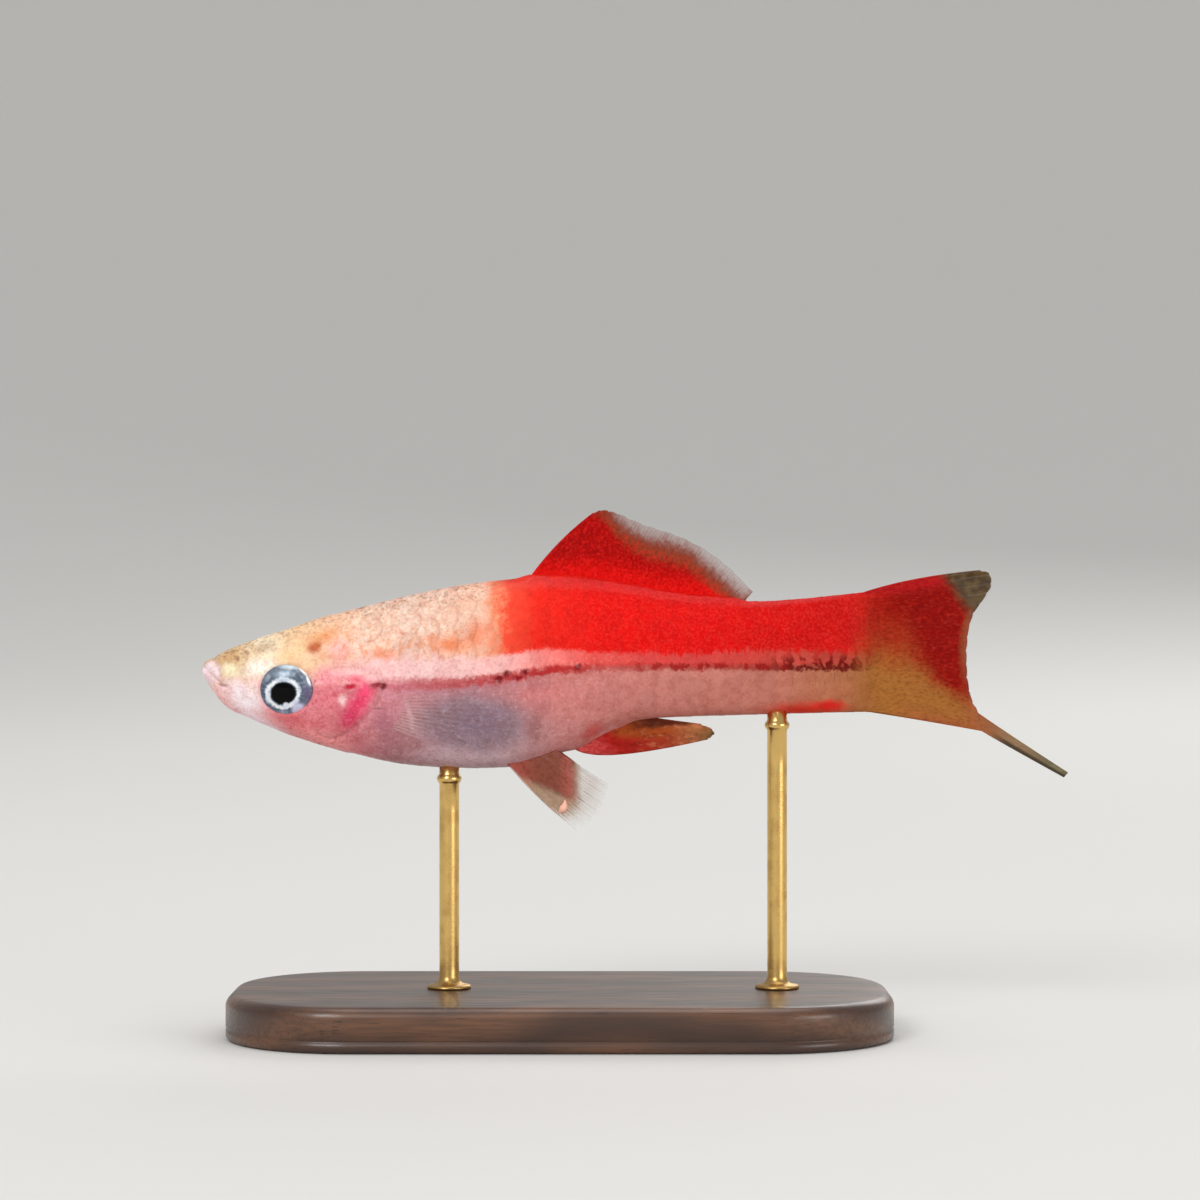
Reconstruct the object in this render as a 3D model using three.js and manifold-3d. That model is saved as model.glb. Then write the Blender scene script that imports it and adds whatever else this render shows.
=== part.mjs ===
// A male swordtail, an aquarium fish, life size, swimming to the left on a plain display stand.
// Millimetres, +Z up. The origin is on the underside of the stand's base, at its centre.
// The fish is drawn in its own frame: s runs back from the tip of the snout, y to the fish's
// right, and h is the height above the level of the snout's tip.
import * as THREE from "three";
import { mergeVertices } from "three/addons/utils/BufferGeometryUtils.js";
import Module from "manifold-3d";

// Driving sizes
const BODY_LENGTH = 60; // snout to the root of the tail fin
const BELLY_DEPTH = 8.75; // from the snout's level down to the lowest point of the belly
const GAP = 0.3; // clearance between neighbouring pieces
const BASE = { length: 60, width: 30, height: 4, corner: 11, edge: 0.7 };
const BELLY_CLEARANCE = 20; // from the base's top to the belly
const ROD = { radius: 0.9, footRadius: 2, footHeight: 0.8, sides: 20 };
const ROD_PLACES = { front: 22.4, rear: 52.2 }; // s under the belly and under the tail stalk
const BASE_CENTRE = 32.5; // s above the middle of the base

// The body's outlines, as [s, value]: the back, the belly, half the width, and the height at
// which the body is widest.
const BACK = [
  [0, 0.3],
  [0.4, 0.98],
  [1, 1.34],
  [2.45, 2.08],
  [4.3, 2.82],
  [8, 4],
  [10.7, 4.95],
  [14, 5.85],
  [22.5, 7.8],
  [27, 8.4],
  [31, 8.66],
  [34.5, 8.52],
  [39, 7.8],
  [42, 7.2],
  [46, 6.7],
  [50, 6.5],
  [54, 6.7],
  [BODY_LENGTH, 7.35],
];
const BELLY = [
  [0, 0.1],
  [0.4, -0.92],
  [1, -1.8],
  [1.6, -2.62],
  [2.45, -3.36],
  [4.3, -4.2],
  [8, -5.75],
  [14, -7.55],
  [18, -8.4],
  [22.5, -BELLY_DEPTH],
  [27, -BELLY_DEPTH],
  [29.5, -8.4],
  [34.2, -6.7],
  [36.5, -5.4],
  [39, -4.55],
  [42, -4.22],
  [50, -3.95],
  [BODY_LENGTH, -3.73],
];
const HALF_WIDTH = [
  [0, 0.25],
  [0.4, 0.98],
  [1, 1.4],
  [2.45, 2.05],
  [6, 3.03],
  [10.7, 3.75],
  [18, 4.3],
  [24, 4.2],
  [32, 3.45],
  [42, 2.42],
  [54, 1.58],
  [BODY_LENGTH, 1.05],
];
const LEVEL = [
  [0, 0.2],
  [2.45, -0.35],
  [8, -1.2],
  [14, -1.6],
  [22.5, -1.5],
  [32, -0.6],
  [42, 0.7],
  [BODY_LENGTH, 1.7],
];
// How much fuller than an ellipse the section is above and below its widest height
const FULLER_ABOVE = [
  [0, 0.1],
  [4.3, 0.28],
  [8, 0.25],
  [14, 0.1],
  [22.5, 0],
  [34, 0.02],
  [BODY_LENGTH, 0.2],
];
const FULLER_BELOW = [
  [0, 0.1],
  [4.3, 0.02],
  [34, 0],
  [BODY_LENGTH, 0.2],
];
const BODY_SIDES = 32;
const RING_STEP = { least: 0.26, growth: 0.12, most: 1.6 }; // rings stand closest at the lips
const FAR = 20; // beyond the body on every side

// The head, as [s, h] points in the side view
const HEAD_END = [
  [11, -11],
  [12.8, -6.5],
  [15, -4.6],
  [16.4, -2.9],
  [16.9, -1.3],
  [16.2, 0.3],
  [14.8, 2.6],
  [13.8, 5.2],
  [13.4, 9],
];
const HEAD_END_GAP = 0.4; // measured along s, wider than GAP because the cut slants
const STALK_START = 49.3; // s where the tail stalk begins
const GILL_COVER = [
  [11.4, 0],
  [13.8, 0.35],
  [15.7, -0.2],
  [16.4, -1.5],
  [15.6, -3.1],
  [14, -4.8],
  [12.1, -5.8],
  [10.7, -5.4],
  [10.2, -3.8],
  [10.5, -1.6],
];
const GILL_COVER_RISE = 0.2; // how far the covers and the lips stand out of the head
const GILL_COVER_DEPTH = 0.45; // how far a cover is let into the head
const MIDLINE = 0.5; // half the strip of the throat that the two covers leave
const EYE = { s: 7.73, h: -1.64, radius: 2.3, depth: 1.4, inset: 2.55, turn: 0.15 };
const PUPIL = { radius: 1.13, rise: 0.12 };
const MOUTH = { front: [-0.6, 1.14], corner: [2.2, -1.25], open: 0.3, lips: 1.5 };
const NOSTRILS = [
  [3.3, 1.25],
  [4.2, 1.75],
];
const NOSTRIL_RADIUS = 0.26;

// The fins. A root is sunk below the skin before the body's shape is cut out of it.
const RAY_FOOT = 0.3; // half a ray's width, as a share of the way to the next ray
const DORSAL = { start: 29.3, end: 48.6, sunk: 0.8 };
const ANAL = { start: 33.5, end: 38.7, sunk: 0.7 };
const PELVIC = { start: 27.8, end: 32, sunk: 0.5, spread: 1 };
const PECTORAL = { s: 17.7, top: -2.3, bottom: -4.8, sunk: 0.4 };
const SWORD_START = 71;
const TAIL_SWAY = { tip: 1.1, length: 18.5 }; // how far the sword's tip swings to the right

const SNOUT_X = -BASE_CENTRE;
const SNOUT_Z = BASE.height + BELLY_CLEARANCE + BELLY_DEPTH;

const wasm = await Module();
wasm.setup();

const { lerp, clamp } = THREE.MathUtils;
const point = (s, y, h) => new THREE.Vector3(s, y, h);
const pair = ([s, h]) => new THREE.Vector2(s, h);

// Reads a table of [s, value] rows as one smooth curve. It runs on the root of s, so that a
// curve that starts steeply gives a blunt snout.
function smooth(table) {
  const rows = table.map(([s, value]) => [Math.sqrt(s), value]);
  const last = rows.length - 1;
  const slopes = rows.map((row, i) => {
    const [a, b] = [rows[Math.max(i - 1, 0)], rows[Math.min(i + 1, last)]];
    return (b[1] - a[1]) / (b[0] - a[0]);
  });
  return (s) => {
    const x = Math.sqrt(s);
    const i = clamp(rows.filter((row) => row[0] <= x).length - 1, 0, last - 1);
    const [a, b] = [rows[i], rows[i + 1]];
    const span = b[0] - a[0];
    const t = (x - a[0]) / span;
    const ease = t * t * (3 - 2 * t);
    const lead = t * (1 - t) ** 2 * slopes[i] - t * t * (1 - t) * slopes[i + 1];
    return lerp(a[1], b[1], ease) + span * lead;
  };
}
const outlines = [BACK, BELLY, HALF_WIDTH, LEVEL, FULLER_ABOVE, FULLER_BELOW].map(smooth);
const section = (s) => outlines.map((outline) => outline(s));

// A point of the body's surface: turn 0 is the left side, a quarter turn is the back.
function bare(s, turn) {
  const [back, belly, halfWidth, level, above, below] = section(s);
  const up = Math.sin(turn);
  const fuller = 1 + (up > 0 ? above : below) * up * up;
  const rise = up > 0 ? back - level : level - belly;
  return point(s, -Math.cos(turn) * halfWidth * fuller, level + up * rise);
}

// The same point raised by lift along the surface's own normal.
function skin(s, turn, lift) {
  const nudge = 0.02;
  const inside = clamp(s, nudge, BODY_LENGTH - nudge);
  const along = bare(inside + nudge, turn).sub(bare(inside - nudge, turn));
  const round = bare(inside, turn + nudge).sub(bare(inside, turn - nudge));
  return bare(s, turn).addScaledVector(along.cross(round).normalize(), lift);
}

// Half the body's width at a height h.
function halfWidthAt(s, h) {
  const [back, belly, halfWidth, level, above, below] = section(s);
  const up = h > level ? (h - level) / (back - level) : (h - level) / (level - belly);
  const fuller = 1 + (up > 0 ? above : below) * up * up;
  return Math.sqrt(Math.max(0, 1 - up * up)) * halfWidth * fuller;
}

// A closed geometry as a solid that can be cut and joined.
function solidOf(geometry) {
  const plain = geometry.clone();
  plain.deleteAttribute("normal");
  plain.deleteAttribute("uv");
  const merged = mergeVertices(plain, 1e-5);
  const mesh = new wasm.Mesh({
    numProp: 3,
    vertProperties: new Float32Array(merged.attributes.position.array),
    triVerts: new Uint32Array(merged.index.array),
  });
  return new wasm.Manifold(mesh);
}

function geometryOf(solid) {
  const { vertProperties, triVerts } = solid.getMesh();
  const geometry = new THREE.BufferGeometry();
  geometry.setAttribute("position", new THREE.BufferAttribute(vertProperties, 3));
  geometry.setIndex(new THREE.BufferAttribute(triVerts, 1));
  return geometry;
}

// The largest closed surface of a solid: what a cut leaves loose is dropped.
function largest(solid) {
  return solid.decompose().reduce((a, b) => (b.volume() > a.volume() ? b : a));
}

function closedSurface(points, faces) {
  const geometry = new THREE.BufferGeometry().setFromPoints(points);
  return solidOf(geometry.setIndex(faces.flat()));
}

// The whole body as one closed surface, raised by lift.
function bodySolid(lift) {
  const rings = [];
  let place = RING_STEP.least / 4;
  while (place < BODY_LENGTH - RING_STEP.most / 2) {
    rings.push(place);
    place += Math.min(RING_STEP.most, RING_STEP.least + RING_STEP.growth * place);
  }
  rings.push(BODY_LENGTH);
  const at = (ring, side) => 1 + ring * BODY_SIDES + (side % BODY_SIDES);
  const points = [point(-lift, 0, LEVEL[0][1])];
  const faces = [];
  rings.forEach((s, ring) => {
    for (let side = 0; side < BODY_SIDES; side++) {
      points.push(skin(s, (2 * Math.PI * side) / BODY_SIDES, lift));
      if (ring === 0) {
        faces.push([0, at(0, side), at(0, side + 1)]);
      } else {
        faces.push([at(ring - 1, side), at(ring, side), at(ring, side + 1)]);
        faces.push([at(ring - 1, side), at(ring, side + 1), at(ring - 1, side + 1)]);
      }
    }
  });
  const end = points.push(point(BODY_LENGTH, 0, LEVEL.at(-1)[1])) - 1;
  const rim = rings.length - 1;
  for (let side = 0; side < BODY_SIDES; side++) faces.push([end, at(rim, side + 1), at(rim, side)]);
  return closedSurface(points, faces);
}

// An outline in the side view, pushed across the body from one y to another.
function across(shape, from = -FAR, to = FAR) {
  const options = { depth: to - from, bevelEnabled: false, curveSegments: 3 };
  const geometry = new THREE.ExtrudeGeometry(shape, options);
  geometry.rotateX(Math.PI / 2);
  geometry.translate(0, to, 0);
  return solidOf(geometry);
}

// Everything between two places along the body.
function stretch(from, to) {
  const corners = [
    [from, -FAR],
    [to, -FAR],
    [to, FAR],
    [from, FAR],
  ];
  return across(new THREE.Shape(corners.map(pair)));
}

// Everything in front of the gill openings, moved back by shift.
function headZone(shift) {
  const [low, ...rest] = HEAD_END.map(([s, h]) => new THREE.Vector2(s + shift, h));
  const shape = new THREE.Shape();
  shape.moveTo(-FAR, -FAR);
  shape.lineTo(low.x, -FAR);
  shape.lineTo(low.x, low.y);
  shape.splineThru(rest);
  shape.lineTo(rest.at(-1).x, FAR);
  shape.lineTo(-FAR, FAR);
  return across(shape);
}

// One gill cover's outline, grown by a margin, on the left (-1) or right (1) half.
function gillZone(side, margin) {
  const corners = GILL_COVER.map(pair);
  const centre = corners.reduce((sum, p) => sum.add(p), pair([0, 0]));
  centre.divideScalar(corners.length);
  const grown = corners.map((p) => {
    const out = p.clone().sub(centre);
    return out.setLength(out.length() + margin).add(centre);
  });
  const rim = new THREE.CatmullRomCurve3(
    grown.map((p) => point(p.x, p.y, 0)),
    true,
  );
  const shape = new THREE.Shape(rim.getPoints(3 * corners.length));
  return side < 0 ? across(shape, -FAR, -MIDLINE) : across(shape, MIDLINE, FAR);
}

// A strip along the mouth's line, thick at the front and share times as thick at the corner.
function mouthStrip(thick, share, beyond) {
  const [front, corner] = [pair(MOUTH.front), pair(MOUTH.corner)];
  const along = corner.clone().sub(front).normalize();
  const up = along.clone().rotateAround(pair([0, 0]), Math.PI / 2);
  corner.addScaledVector(along, beyond);
  const shape = new THREE.Shape([
    front.clone().addScaledVector(up, -thick / 2),
    corner.clone().addScaledVector(up, (-share * thick) / 2),
    corner.clone().addScaledVector(up, (share * thick) / 2),
    front.clone().addScaledVector(up, thick / 2),
  ]);
  return across(shape);
}

// An eye: a shallow globe with a low dome over the pupil, its axis pointing out of the head.
function eyeSolid(side, margin) {
  const steps = 10;
  const profile = [];
  for (let i = 0; i <= steps; i++) {
    const angle = Math.PI * (i / steps - 0.5);
    const r = i % steps === 0 ? 0 : (EYE.radius + margin) * Math.cos(angle);
    const dome = angle > 0 && r < PUPIL.radius ? PUPIL.rise : 0;
    profile.push(new THREE.Vector2(r, (EYE.depth + margin) * Math.sin(angle) + dome));
  }
  const geometry = new THREE.LatheGeometry(profile, 22);
  if (side < 0) geometry.rotateX(Math.PI);
  geometry.rotateZ(side * EYE.turn);
  geometry.translate(EYE.s, side * EYE.inset, EYE.h);
  return solidOf(geometry);
}

function nostril(side, [s, h]) {
  const pit = new THREE.SphereGeometry(NOSTRIL_RADIUS, 8, 6);
  pit.translate(s, side * halfWidthAt(s, h), h);
  return solidOf(pit);
}

// A thin plate whose two faces are alike: middle(u, v) is its middle surface and half(u, v) half
// its thickness. Columns lists the places of u, and rows is the number of steps of v.
function plate(columns, rows, middle, half) {
  const [wide, high] = [columns.length, rows + 1];
  const step = 1e-3;
  const points = [];
  for (const face of [1, -1])
    for (const u of columns)
      for (let row = 0; row < high; row++) {
        const v = row / rows;
        const acrossRays = middle(u + step, v).sub(middle(u - step, v));
        const alongRay = middle(u, v + step).sub(middle(u, v - step));
        const normal = acrossRays.cross(alongRay).normalize();
        points.push(middle(u, v).addScaledVector(normal, face * half(u, v)));
      }
  const top = (i, j) => i * high + j;
  const under = (i, j) => (wide + i) * high + j;
  const faces = [];
  for (let i = 0; i + 1 < wide; i++)
    for (let j = 0; j + 1 < high; j++) {
      faces.push([top(i, j), top(i + 1, j), top(i + 1, j + 1)]);
      faces.push([top(i, j), top(i + 1, j + 1), top(i, j + 1)]);
      faces.push([under(i, j), under(i + 1, j + 1), under(i + 1, j)]);
      faces.push([under(i, j), under(i, j + 1), under(i + 1, j + 1)]);
    }
  const rim = [];
  for (let i = 0; i < wide - 1; i++) rim.push([i, 0]);
  for (let j = 0; j < high - 1; j++) rim.push([wide - 1, j]);
  for (let i = wide - 1; i > 0; i--) rim.push([i, high - 1]);
  for (let j = high - 1; j > 0; j--) rim.push([0, j]);
  rim.forEach((a, n) => {
    const b = rim[(n + 1) % rim.length];
    faces.push([top(...a), under(...a), under(...b)]);
    faces.push([top(...a), under(...b), top(...b)]);
  });
  return closedSurface(points, faces);
}

// A fin of rays from a root line to a tip line, each ray a bowed line. The rays are ridges of
// the web, which falls back a little between their tips.
function fin({ root, tip, rays, rows, bow, bowAt = 0.5, bowWay, web, ray, notch = 0, sway }) {
  const [roots, tips] = [root, tip].map((line) => new THREE.CatmullRomCurve3(line));
  const way = point(...bowWay).normalize();
  const crest = (u) => {
    const place = u * (rays - 1);
    return Math.max(0, 1 - Math.abs(place - Math.round(place)) / RAY_FOOT);
  };
  const middle = (u, v) => {
    const t = clamp(u, 0, 1);
    const [a, b] = [roots.getPoint(t), tips.getPoint(t)];
    const bend = a.clone().lerp(b, bowAt).addScaledVector(way, lerp(...bow, t));
    const reach = v * (1 - notch * (1 - crest(t)));
    const place = a.lerp(bend, reach).lerp(bend.lerp(b, reach), reach);
    if (sway) place.y += sway(place.x, t, v);
    return place;
  };
  const half = (u, v) => lerp(lerp(...web, v), lerp(...ray, v), crest(u)) / 2;
  const columns = [0];
  for (let n = 0; n < rays - 1; n++)
    for (const x of [RAY_FOOT, 1 - RAY_FOOT, 1]) columns.push((n + x) / (rays - 1));
  return plate(columns, rows, middle, half);
}

const tailSway = (s) => TAIL_SWAY.tip * Math.max(0, (s - BODY_LENGTH) / TAIL_SWAY.length) ** 2;

// Places for a fin's root from one s to another, given the height of each.
function rootLine({ start, end }, count, y, height) {
  return Array.from({ length: count }, (_, i) => {
    const s = lerp(start, end, i / (count - 1));
    return point(s, y, height(s));
  });
}

function dorsalFin() {
  return fin({
    root: rootLine(DORSAL, 6, 0, (s) => outlines[0](s) - DORSAL.sunk),
    tip: [
      point(36, 0, 14.8),
      point(39.3, 0, 14.5),
      point(42.4, 0, 13.7),
      point(45.4, 0, 12.4),
      point(48.2, 0, 10.4),
      point(50.5, 0, 7.9),
    ],
    rays: 12,
    rows: 7,
    bow: [0.8, 0.1],
    bowWay: [-0.65, 0, 0.76],
    web: [0.6, 0.36],
    ray: [0.9, 0.5],
    notch: 0.025,
    sway: (s, u, v) => 0.55 * v * v * Math.sin(2.6 * u - 0.5),
  });
}

// The anal fin is a male's: a long, narrow bundle of stout rays folded back under the body.
function analFin() {
  return fin({
    root: rootLine(ANAL, 4, 0, (s) => outlines[1](s) + ANAL.sunk),
    tip: [
      point(46.4, 0, -5.95),
      point(46.5, 0, -5.5),
      point(46.1, 0, -5.1),
      point(45.3, 0, -4.8),
    ],
    rays: 6,
    rows: 8,
    bow: [-2.35, -0.15],
    bowAt: 0.09,
    bowWay: [0.1, 0, 1],
    web: [0.8, 0.5],
    ray: [1.2, 0.7],
  });
}

function tailFin() {
  const root = BODY_LENGTH + GAP;
  const [top, bottom] = [BACK.at(-1)[1], BELLY.at(-1)[1]];
  return fin({
    root: [0, 0.33, 0.67, 1].map((t) => point(root, 0, lerp(top, bottom, t))),
    tip: [
      point(71.6, 0, 9.3),
      point(71.7, 0, 7.6),
      point(70.5, 0, 5.6),
      point(69.65, 0, 3.6),
      point(69.5, 0, 1.6),
      point(69.6, 0, -0.4),
      point(70.1, 0, -2.3),
      point(70.75, 0, -3.8),
      point(SWORD_START, 0, -5.3),
    ],
    rays: 15,
    rows: 8,
    bow: [0.45, 0.35],
    bowWay: [0, 0, 1],
    web: [1.3, 0.36],
    ray: [1.6, 0.5],
    notch: 0.02,
    sway: tailSway,
  });
}

// The sword: the lowest rays of the tail fin, drawn out into a long point.
function sword() {
  return fin({
    root: [point(SWORD_START + 0.15, 0, -3.9), point(SWORD_START + 0.4, 0, -5.5)],
    tip: [point(78.8, 0, -9.3), point(78.6, 0, -9.6)],
    rays: 3,
    rows: 9,
    bow: [0.1, 0.25],
    bowWay: [0.5, 0, 0.86],
    web: [0.7, 0.4],
    ray: [1, 0.5],
    sway: tailSway,
  });
}

// A pectoral fin, on the left (-1) or right (1), held out from the flank.
function pectoralFin(side) {
  const { s, top, bottom, sunk } = PECTORAL;
  return fin({
    root: [0, 0.5, 1].map((t) => {
      const h = lerp(top, bottom, t);
      return point(s - 0.6 * t * t, side * (halfWidthAt(s, h) - sunk), h);
    }),
    tip: [
      point(28.2, side * 7, -1.2),
      point(30.3, side * 7.6, -3.2),
      point(30.5, side * 7.7, -5.2),
      point(28.8, side * 7.4, -7.1),
      point(25.4, side * 6.9, -8),
    ],
    rays: 11,
    rows: 6,
    bow: [0.7, 0.4],
    bowWay: [0, side, 0],
    web: [0.55, 0.34],
    ray: [0.8, 0.44],
    notch: 0.02,
  });
}

// A pelvic fin, on the left (-1) or right (1), hanging from the belly.
function pelvicFin(side) {
  return fin({
    root: rootLine(PELVIC, 3, side * PELVIC.spread, (s) => outlines[1](s) + PELVIC.sunk),
    tip: [
      point(34, side * 2.6, -14.2),
      point(36, side * 3, -12.8),
      point(36.9, side * 3, -10.4),
    ],
    rays: 7,
    rows: 7,
    bow: [0.5, 0.1],
    bowWay: [-0.7, 0, -0.7],
    web: [0.55, 0.36],
    ray: [0.9, 0.48],
    notch: 0.03,
  });
}

function standBase() {
  const { length, width, height, corner, edge } = BASE;
  const [x, y] = [length / 2 - edge - corner, width / 2 - edge - corner];
  const quarter = Math.PI / 2;
  const shape = new THREE.Shape();
  shape.moveTo(-x, -y - corner);
  shape.absarc(x, -y, corner, -quarter, 0);
  shape.absarc(x, y, corner, 0, quarter);
  shape.absarc(-x, y, corner, quarter, 2 * quarter);
  shape.absarc(-x, -y, corner, 2 * quarter, 3 * quarter);
  const geometry = new THREE.ExtrudeGeometry(shape, {
    depth: height - 2 * edge,
    bevelThickness: edge,
    bevelSize: edge,
    bevelSegments: 2,
    curveSegments: 6,
  });
  geometry.translate(0, 0, edge);
  return solidOf(geometry);
}

// A rod on a small foot, from the base up into the fish, in the fish's frame.
function standRod(s) {
  const foot = BASE.height + GAP - SNOUT_Z;
  const { radius, footRadius, footHeight, sides } = ROD;
  const top = outlines[1](s) + 2;
  const profile = [
    [0, foot],
    [footRadius, foot],
    [footRadius, foot + footHeight / 2],
    [radius, foot + footHeight],
    [radius, top],
    [0, top],
  ];
  const geometry = new THREE.LatheGeometry(profile.map(pair), sides);
  geometry.rotateX(Math.PI / 2);
  geometry.translate(s, 0, 0);
  return solidOf(geometry);
}

const body = bodySolid(0);
const risen = bodySolid(GILL_COVER_RISE);
const sunken = bodySolid(-GILL_COVER_DEPTH);
const pocket = bodySolid(-GILL_COVER_DEPTH - GAP);
const surroundings = bodySolid(GAP);

function headSolid() {
  const lips = risen.intersect(mouthStrip(MOUTH.lips, 0.8, 0.3)).intersect(stretch(-FAR, BODY_LENGTH));
  let head = body.intersect(headZone(-HEAD_END_GAP / 2)).add(lips);
  head = head.subtract(mouthStrip(MOUTH.open, 0.6, 0));
  for (const side of [-1, 1]) {
    head = head.subtract(gillZone(side, GAP).subtract(pocket)).subtract(eyeSolid(side, GAP));
    for (const place of NOSTRILS) head = head.subtract(nostril(side, place));
  }
  return largest(head);
}

const gillCover = (side) => largest(risen.intersect(gillZone(side, 0)).subtract(sunken));
const trunk = body.subtract(headZone(HEAD_END_GAP / 2)).intersect(stretch(0, STALK_START));
const stalk = body.intersect(stretch(STALK_START + GAP, BODY_LENGTH + FAR));
const clearOfBody = (solid) => largest(solid.subtract(surroundings));

const paint = (color, roughness, metalness = 0) =>
  new THREE.MeshStandardMaterial({ color, roughness, metalness });
const finishes = {
  head: paint(0xf3d3c4, 0.42),
  trunk: paint(0xe8908a, 0.42),
  stalk: paint(0xd9281f, 0.42),
  cover: paint(0xee8a90, 0.35),
  redFin: paint(0xc3140f, 0.45),
  clearFin: paint(0xd8a790, 0.4),
  sword: paint(0xa9825a, 0.45),
  eye: paint(0x9fb4c4, 0.12),
  wood: paint(0x3a2418, 0.4),
  brass: paint(0xb58d4c, 0.3, 1),
};

function mesh(name, solid, material) {
  const made = new THREE.Mesh(geometryOf(solid), material);
  made.name = name;
  return made;
}

const fish = new THREE.Group();
fish.position.set(SNOUT_X, 0, SNOUT_Z);
fish.add(
  mesh("head", headSolid(), finishes.head),
  mesh("trunk", largest(trunk), finishes.trunk),
  mesh("tail_stalk", largest(stalk), finishes.stalk),
  mesh("dorsal_fin", clearOfBody(dorsalFin()), finishes.redFin),
  mesh("anal_fin", clearOfBody(analFin()), finishes.redFin),
  mesh("tail_fin", tailFin(), finishes.redFin),
  mesh("sword", sword(), finishes.sword),
);
for (const [name, side] of Object.entries({ left: -1, right: 1 }))
  fish.add(
    mesh("eye_" + name, eyeSolid(side, 0), finishes.eye),
    mesh("gill_cover_" + name, gillCover(side), finishes.cover),
    mesh("pectoral_fin_" + name, clearOfBody(pectoralFin(side)), finishes.clearFin),
    mesh("pelvic_fin_" + name, clearOfBody(pelvicFin(side)), finishes.clearFin),
  );
for (const [name, s] of Object.entries(ROD_PLACES))
  fish.add(mesh("stand_rod_" + name, clearOfBody(standRod(s)), finishes.brass));

const part = new THREE.Group();
part.add(fish, mesh("stand_base", standBase(), finishes.wood));

export default part;
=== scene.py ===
# %% [markdown]
# # A swordtail on a display stand
# This lesson dresses a museum model of a male swordtail, a small aquarium fish. The solids of the
# model are already made. They are loaded here as a fixed frame, and every finished piece is placed
# by the same sizes, so nothing has to be fitted afterwards.

# %% The fixed frame
import math
import time

import bmesh
import bpy
import numpy as np
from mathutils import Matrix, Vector


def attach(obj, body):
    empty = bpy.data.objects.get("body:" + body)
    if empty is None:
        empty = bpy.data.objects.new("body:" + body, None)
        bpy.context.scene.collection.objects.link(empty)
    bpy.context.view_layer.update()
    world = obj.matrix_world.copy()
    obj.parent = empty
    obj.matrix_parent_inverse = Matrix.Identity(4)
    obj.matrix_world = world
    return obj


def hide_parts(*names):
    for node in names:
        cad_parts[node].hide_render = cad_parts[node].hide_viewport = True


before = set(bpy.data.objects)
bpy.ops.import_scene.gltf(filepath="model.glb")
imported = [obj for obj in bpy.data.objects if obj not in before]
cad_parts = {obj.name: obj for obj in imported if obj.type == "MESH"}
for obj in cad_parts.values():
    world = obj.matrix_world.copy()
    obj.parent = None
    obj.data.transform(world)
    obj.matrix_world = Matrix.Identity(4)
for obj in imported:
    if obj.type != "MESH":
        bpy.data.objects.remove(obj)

started = time.time()
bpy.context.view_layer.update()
print("solids", sorted(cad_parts))

# %% [markdown]
# ## The fish's own frame
# Blender works in metres, but a fish of 60 mm is easier to describe in millimetres. So each place
# on it is given as s, back from the tip of the snout, y, to the fish's right, and h, above the
# level of the snout. One function turns such a place into Blender's metres.

# %% Sizes in millimetres
BODY_LENGTH = 60.0
SKIN_LENGTH = 63.8
BASE_HEIGHT = 4.0
BASE_CENTRE_S = 32.5
SNOUT_HEIGHT = 32.75
MM = 0.001


def place(s, y, h):
    """Turns a place on the fish into metres."""
    columns = np.broadcast_arrays(np.asarray(s, float) - BASE_CENTRE_S, y, np.asarray(h) + SNOUT_HEIGHT)
    return np.stack(columns, axis=-1) * MM


# %% [markdown]
# ## Camera
# The photo looks at the fish's left side from its own level. A long lens keeps the head and the
# tail in true proportion. The photo's width, 1200 pixels at 0.0909 mm each, fixes how far the
# camera stands off.

# %% Camera at the photo's angle
PHOTO_PIXELS = 1200
MM_PER_PIXEL = 0.0909
FRAME_CENTRE = (36.1, 6.54)
LENS = 100.0
SENSOR = 36.0
VIEW_DISTANCE = PHOTO_PIXELS * MM_PER_PIXEL * LENS / SENSOR

camera = bpy.data.objects.new("camera", bpy.data.cameras.new("camera"))
camera.data.lens = LENS
camera.data.sensor_width = SENSOR
camera.location = place(FRAME_CENTRE[0], -VIEW_DISTANCE, FRAME_CENTRE[1])
camera.rotation_euler = (math.radians(90), 0, 0)
camera.data.clip_start = 0.01
camera.data.clip_end = 20
bpy.context.scene.collection.objects.link(camera)
bpy.context.scene.camera = camera
print("camera distance in mm", round(VIEW_DISTANCE, 1))

# %% [markdown]
# ## Helpers for meshes
# Most pieces here are made by formula: arrays of points and lists of faces. A short helper turns
# them into an object, smooth shaded, with its faces pointing outwards.

# %% Mesh helpers


def new_object(name, points, faces, body=True):
    """Makes a smooth shaded mesh object from points in metres."""
    mesh = bpy.data.meshes.new(name)
    mesh.from_pydata(np.asarray(points).tolist(), [], [list(map(int, face)) for face in faces])
    mesh.update()
    mesh.shade_smooth()
    made = bpy.data.objects.new(name, mesh)
    bpy.context.scene.collection.objects.link(made)
    if body:
        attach(made, "root")
    return made


def face_out(thing, sharp=math.pi):
    """Turns all faces of a closed mesh outwards, and keeps edges crisp that bend by more than sharp."""
    work = bmesh.new()
    work.from_mesh(thing.data)
    bmesh.ops.recalc_face_normals(work, faces=work.faces)
    for edge in work.edges:
        edge.smooth = edge.calc_face_angle(0) <= sharp
    work.to_mesh(thing.data)
    work.free()


def store(thing, name, values):
    """Keeps one number for each point, for a material to read."""
    kept = thing.data.attributes.new(name, "FLOAT", "POINT")
    kept.data.foreach_set("value", np.asarray(values, np.float32))


def grid_faces(rows, columns, wrap=False):
    """The four-sided faces of a grid of points that is stored row by row."""
    row, column = np.mgrid[0 : rows - 1, 0 : columns if wrap else columns - 1]
    a = row * columns + column
    b = row * columns + (column + 1) % columns
    return np.stack([a, b, b + columns, a + columns], axis=-1).reshape(-1, 4)


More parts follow.
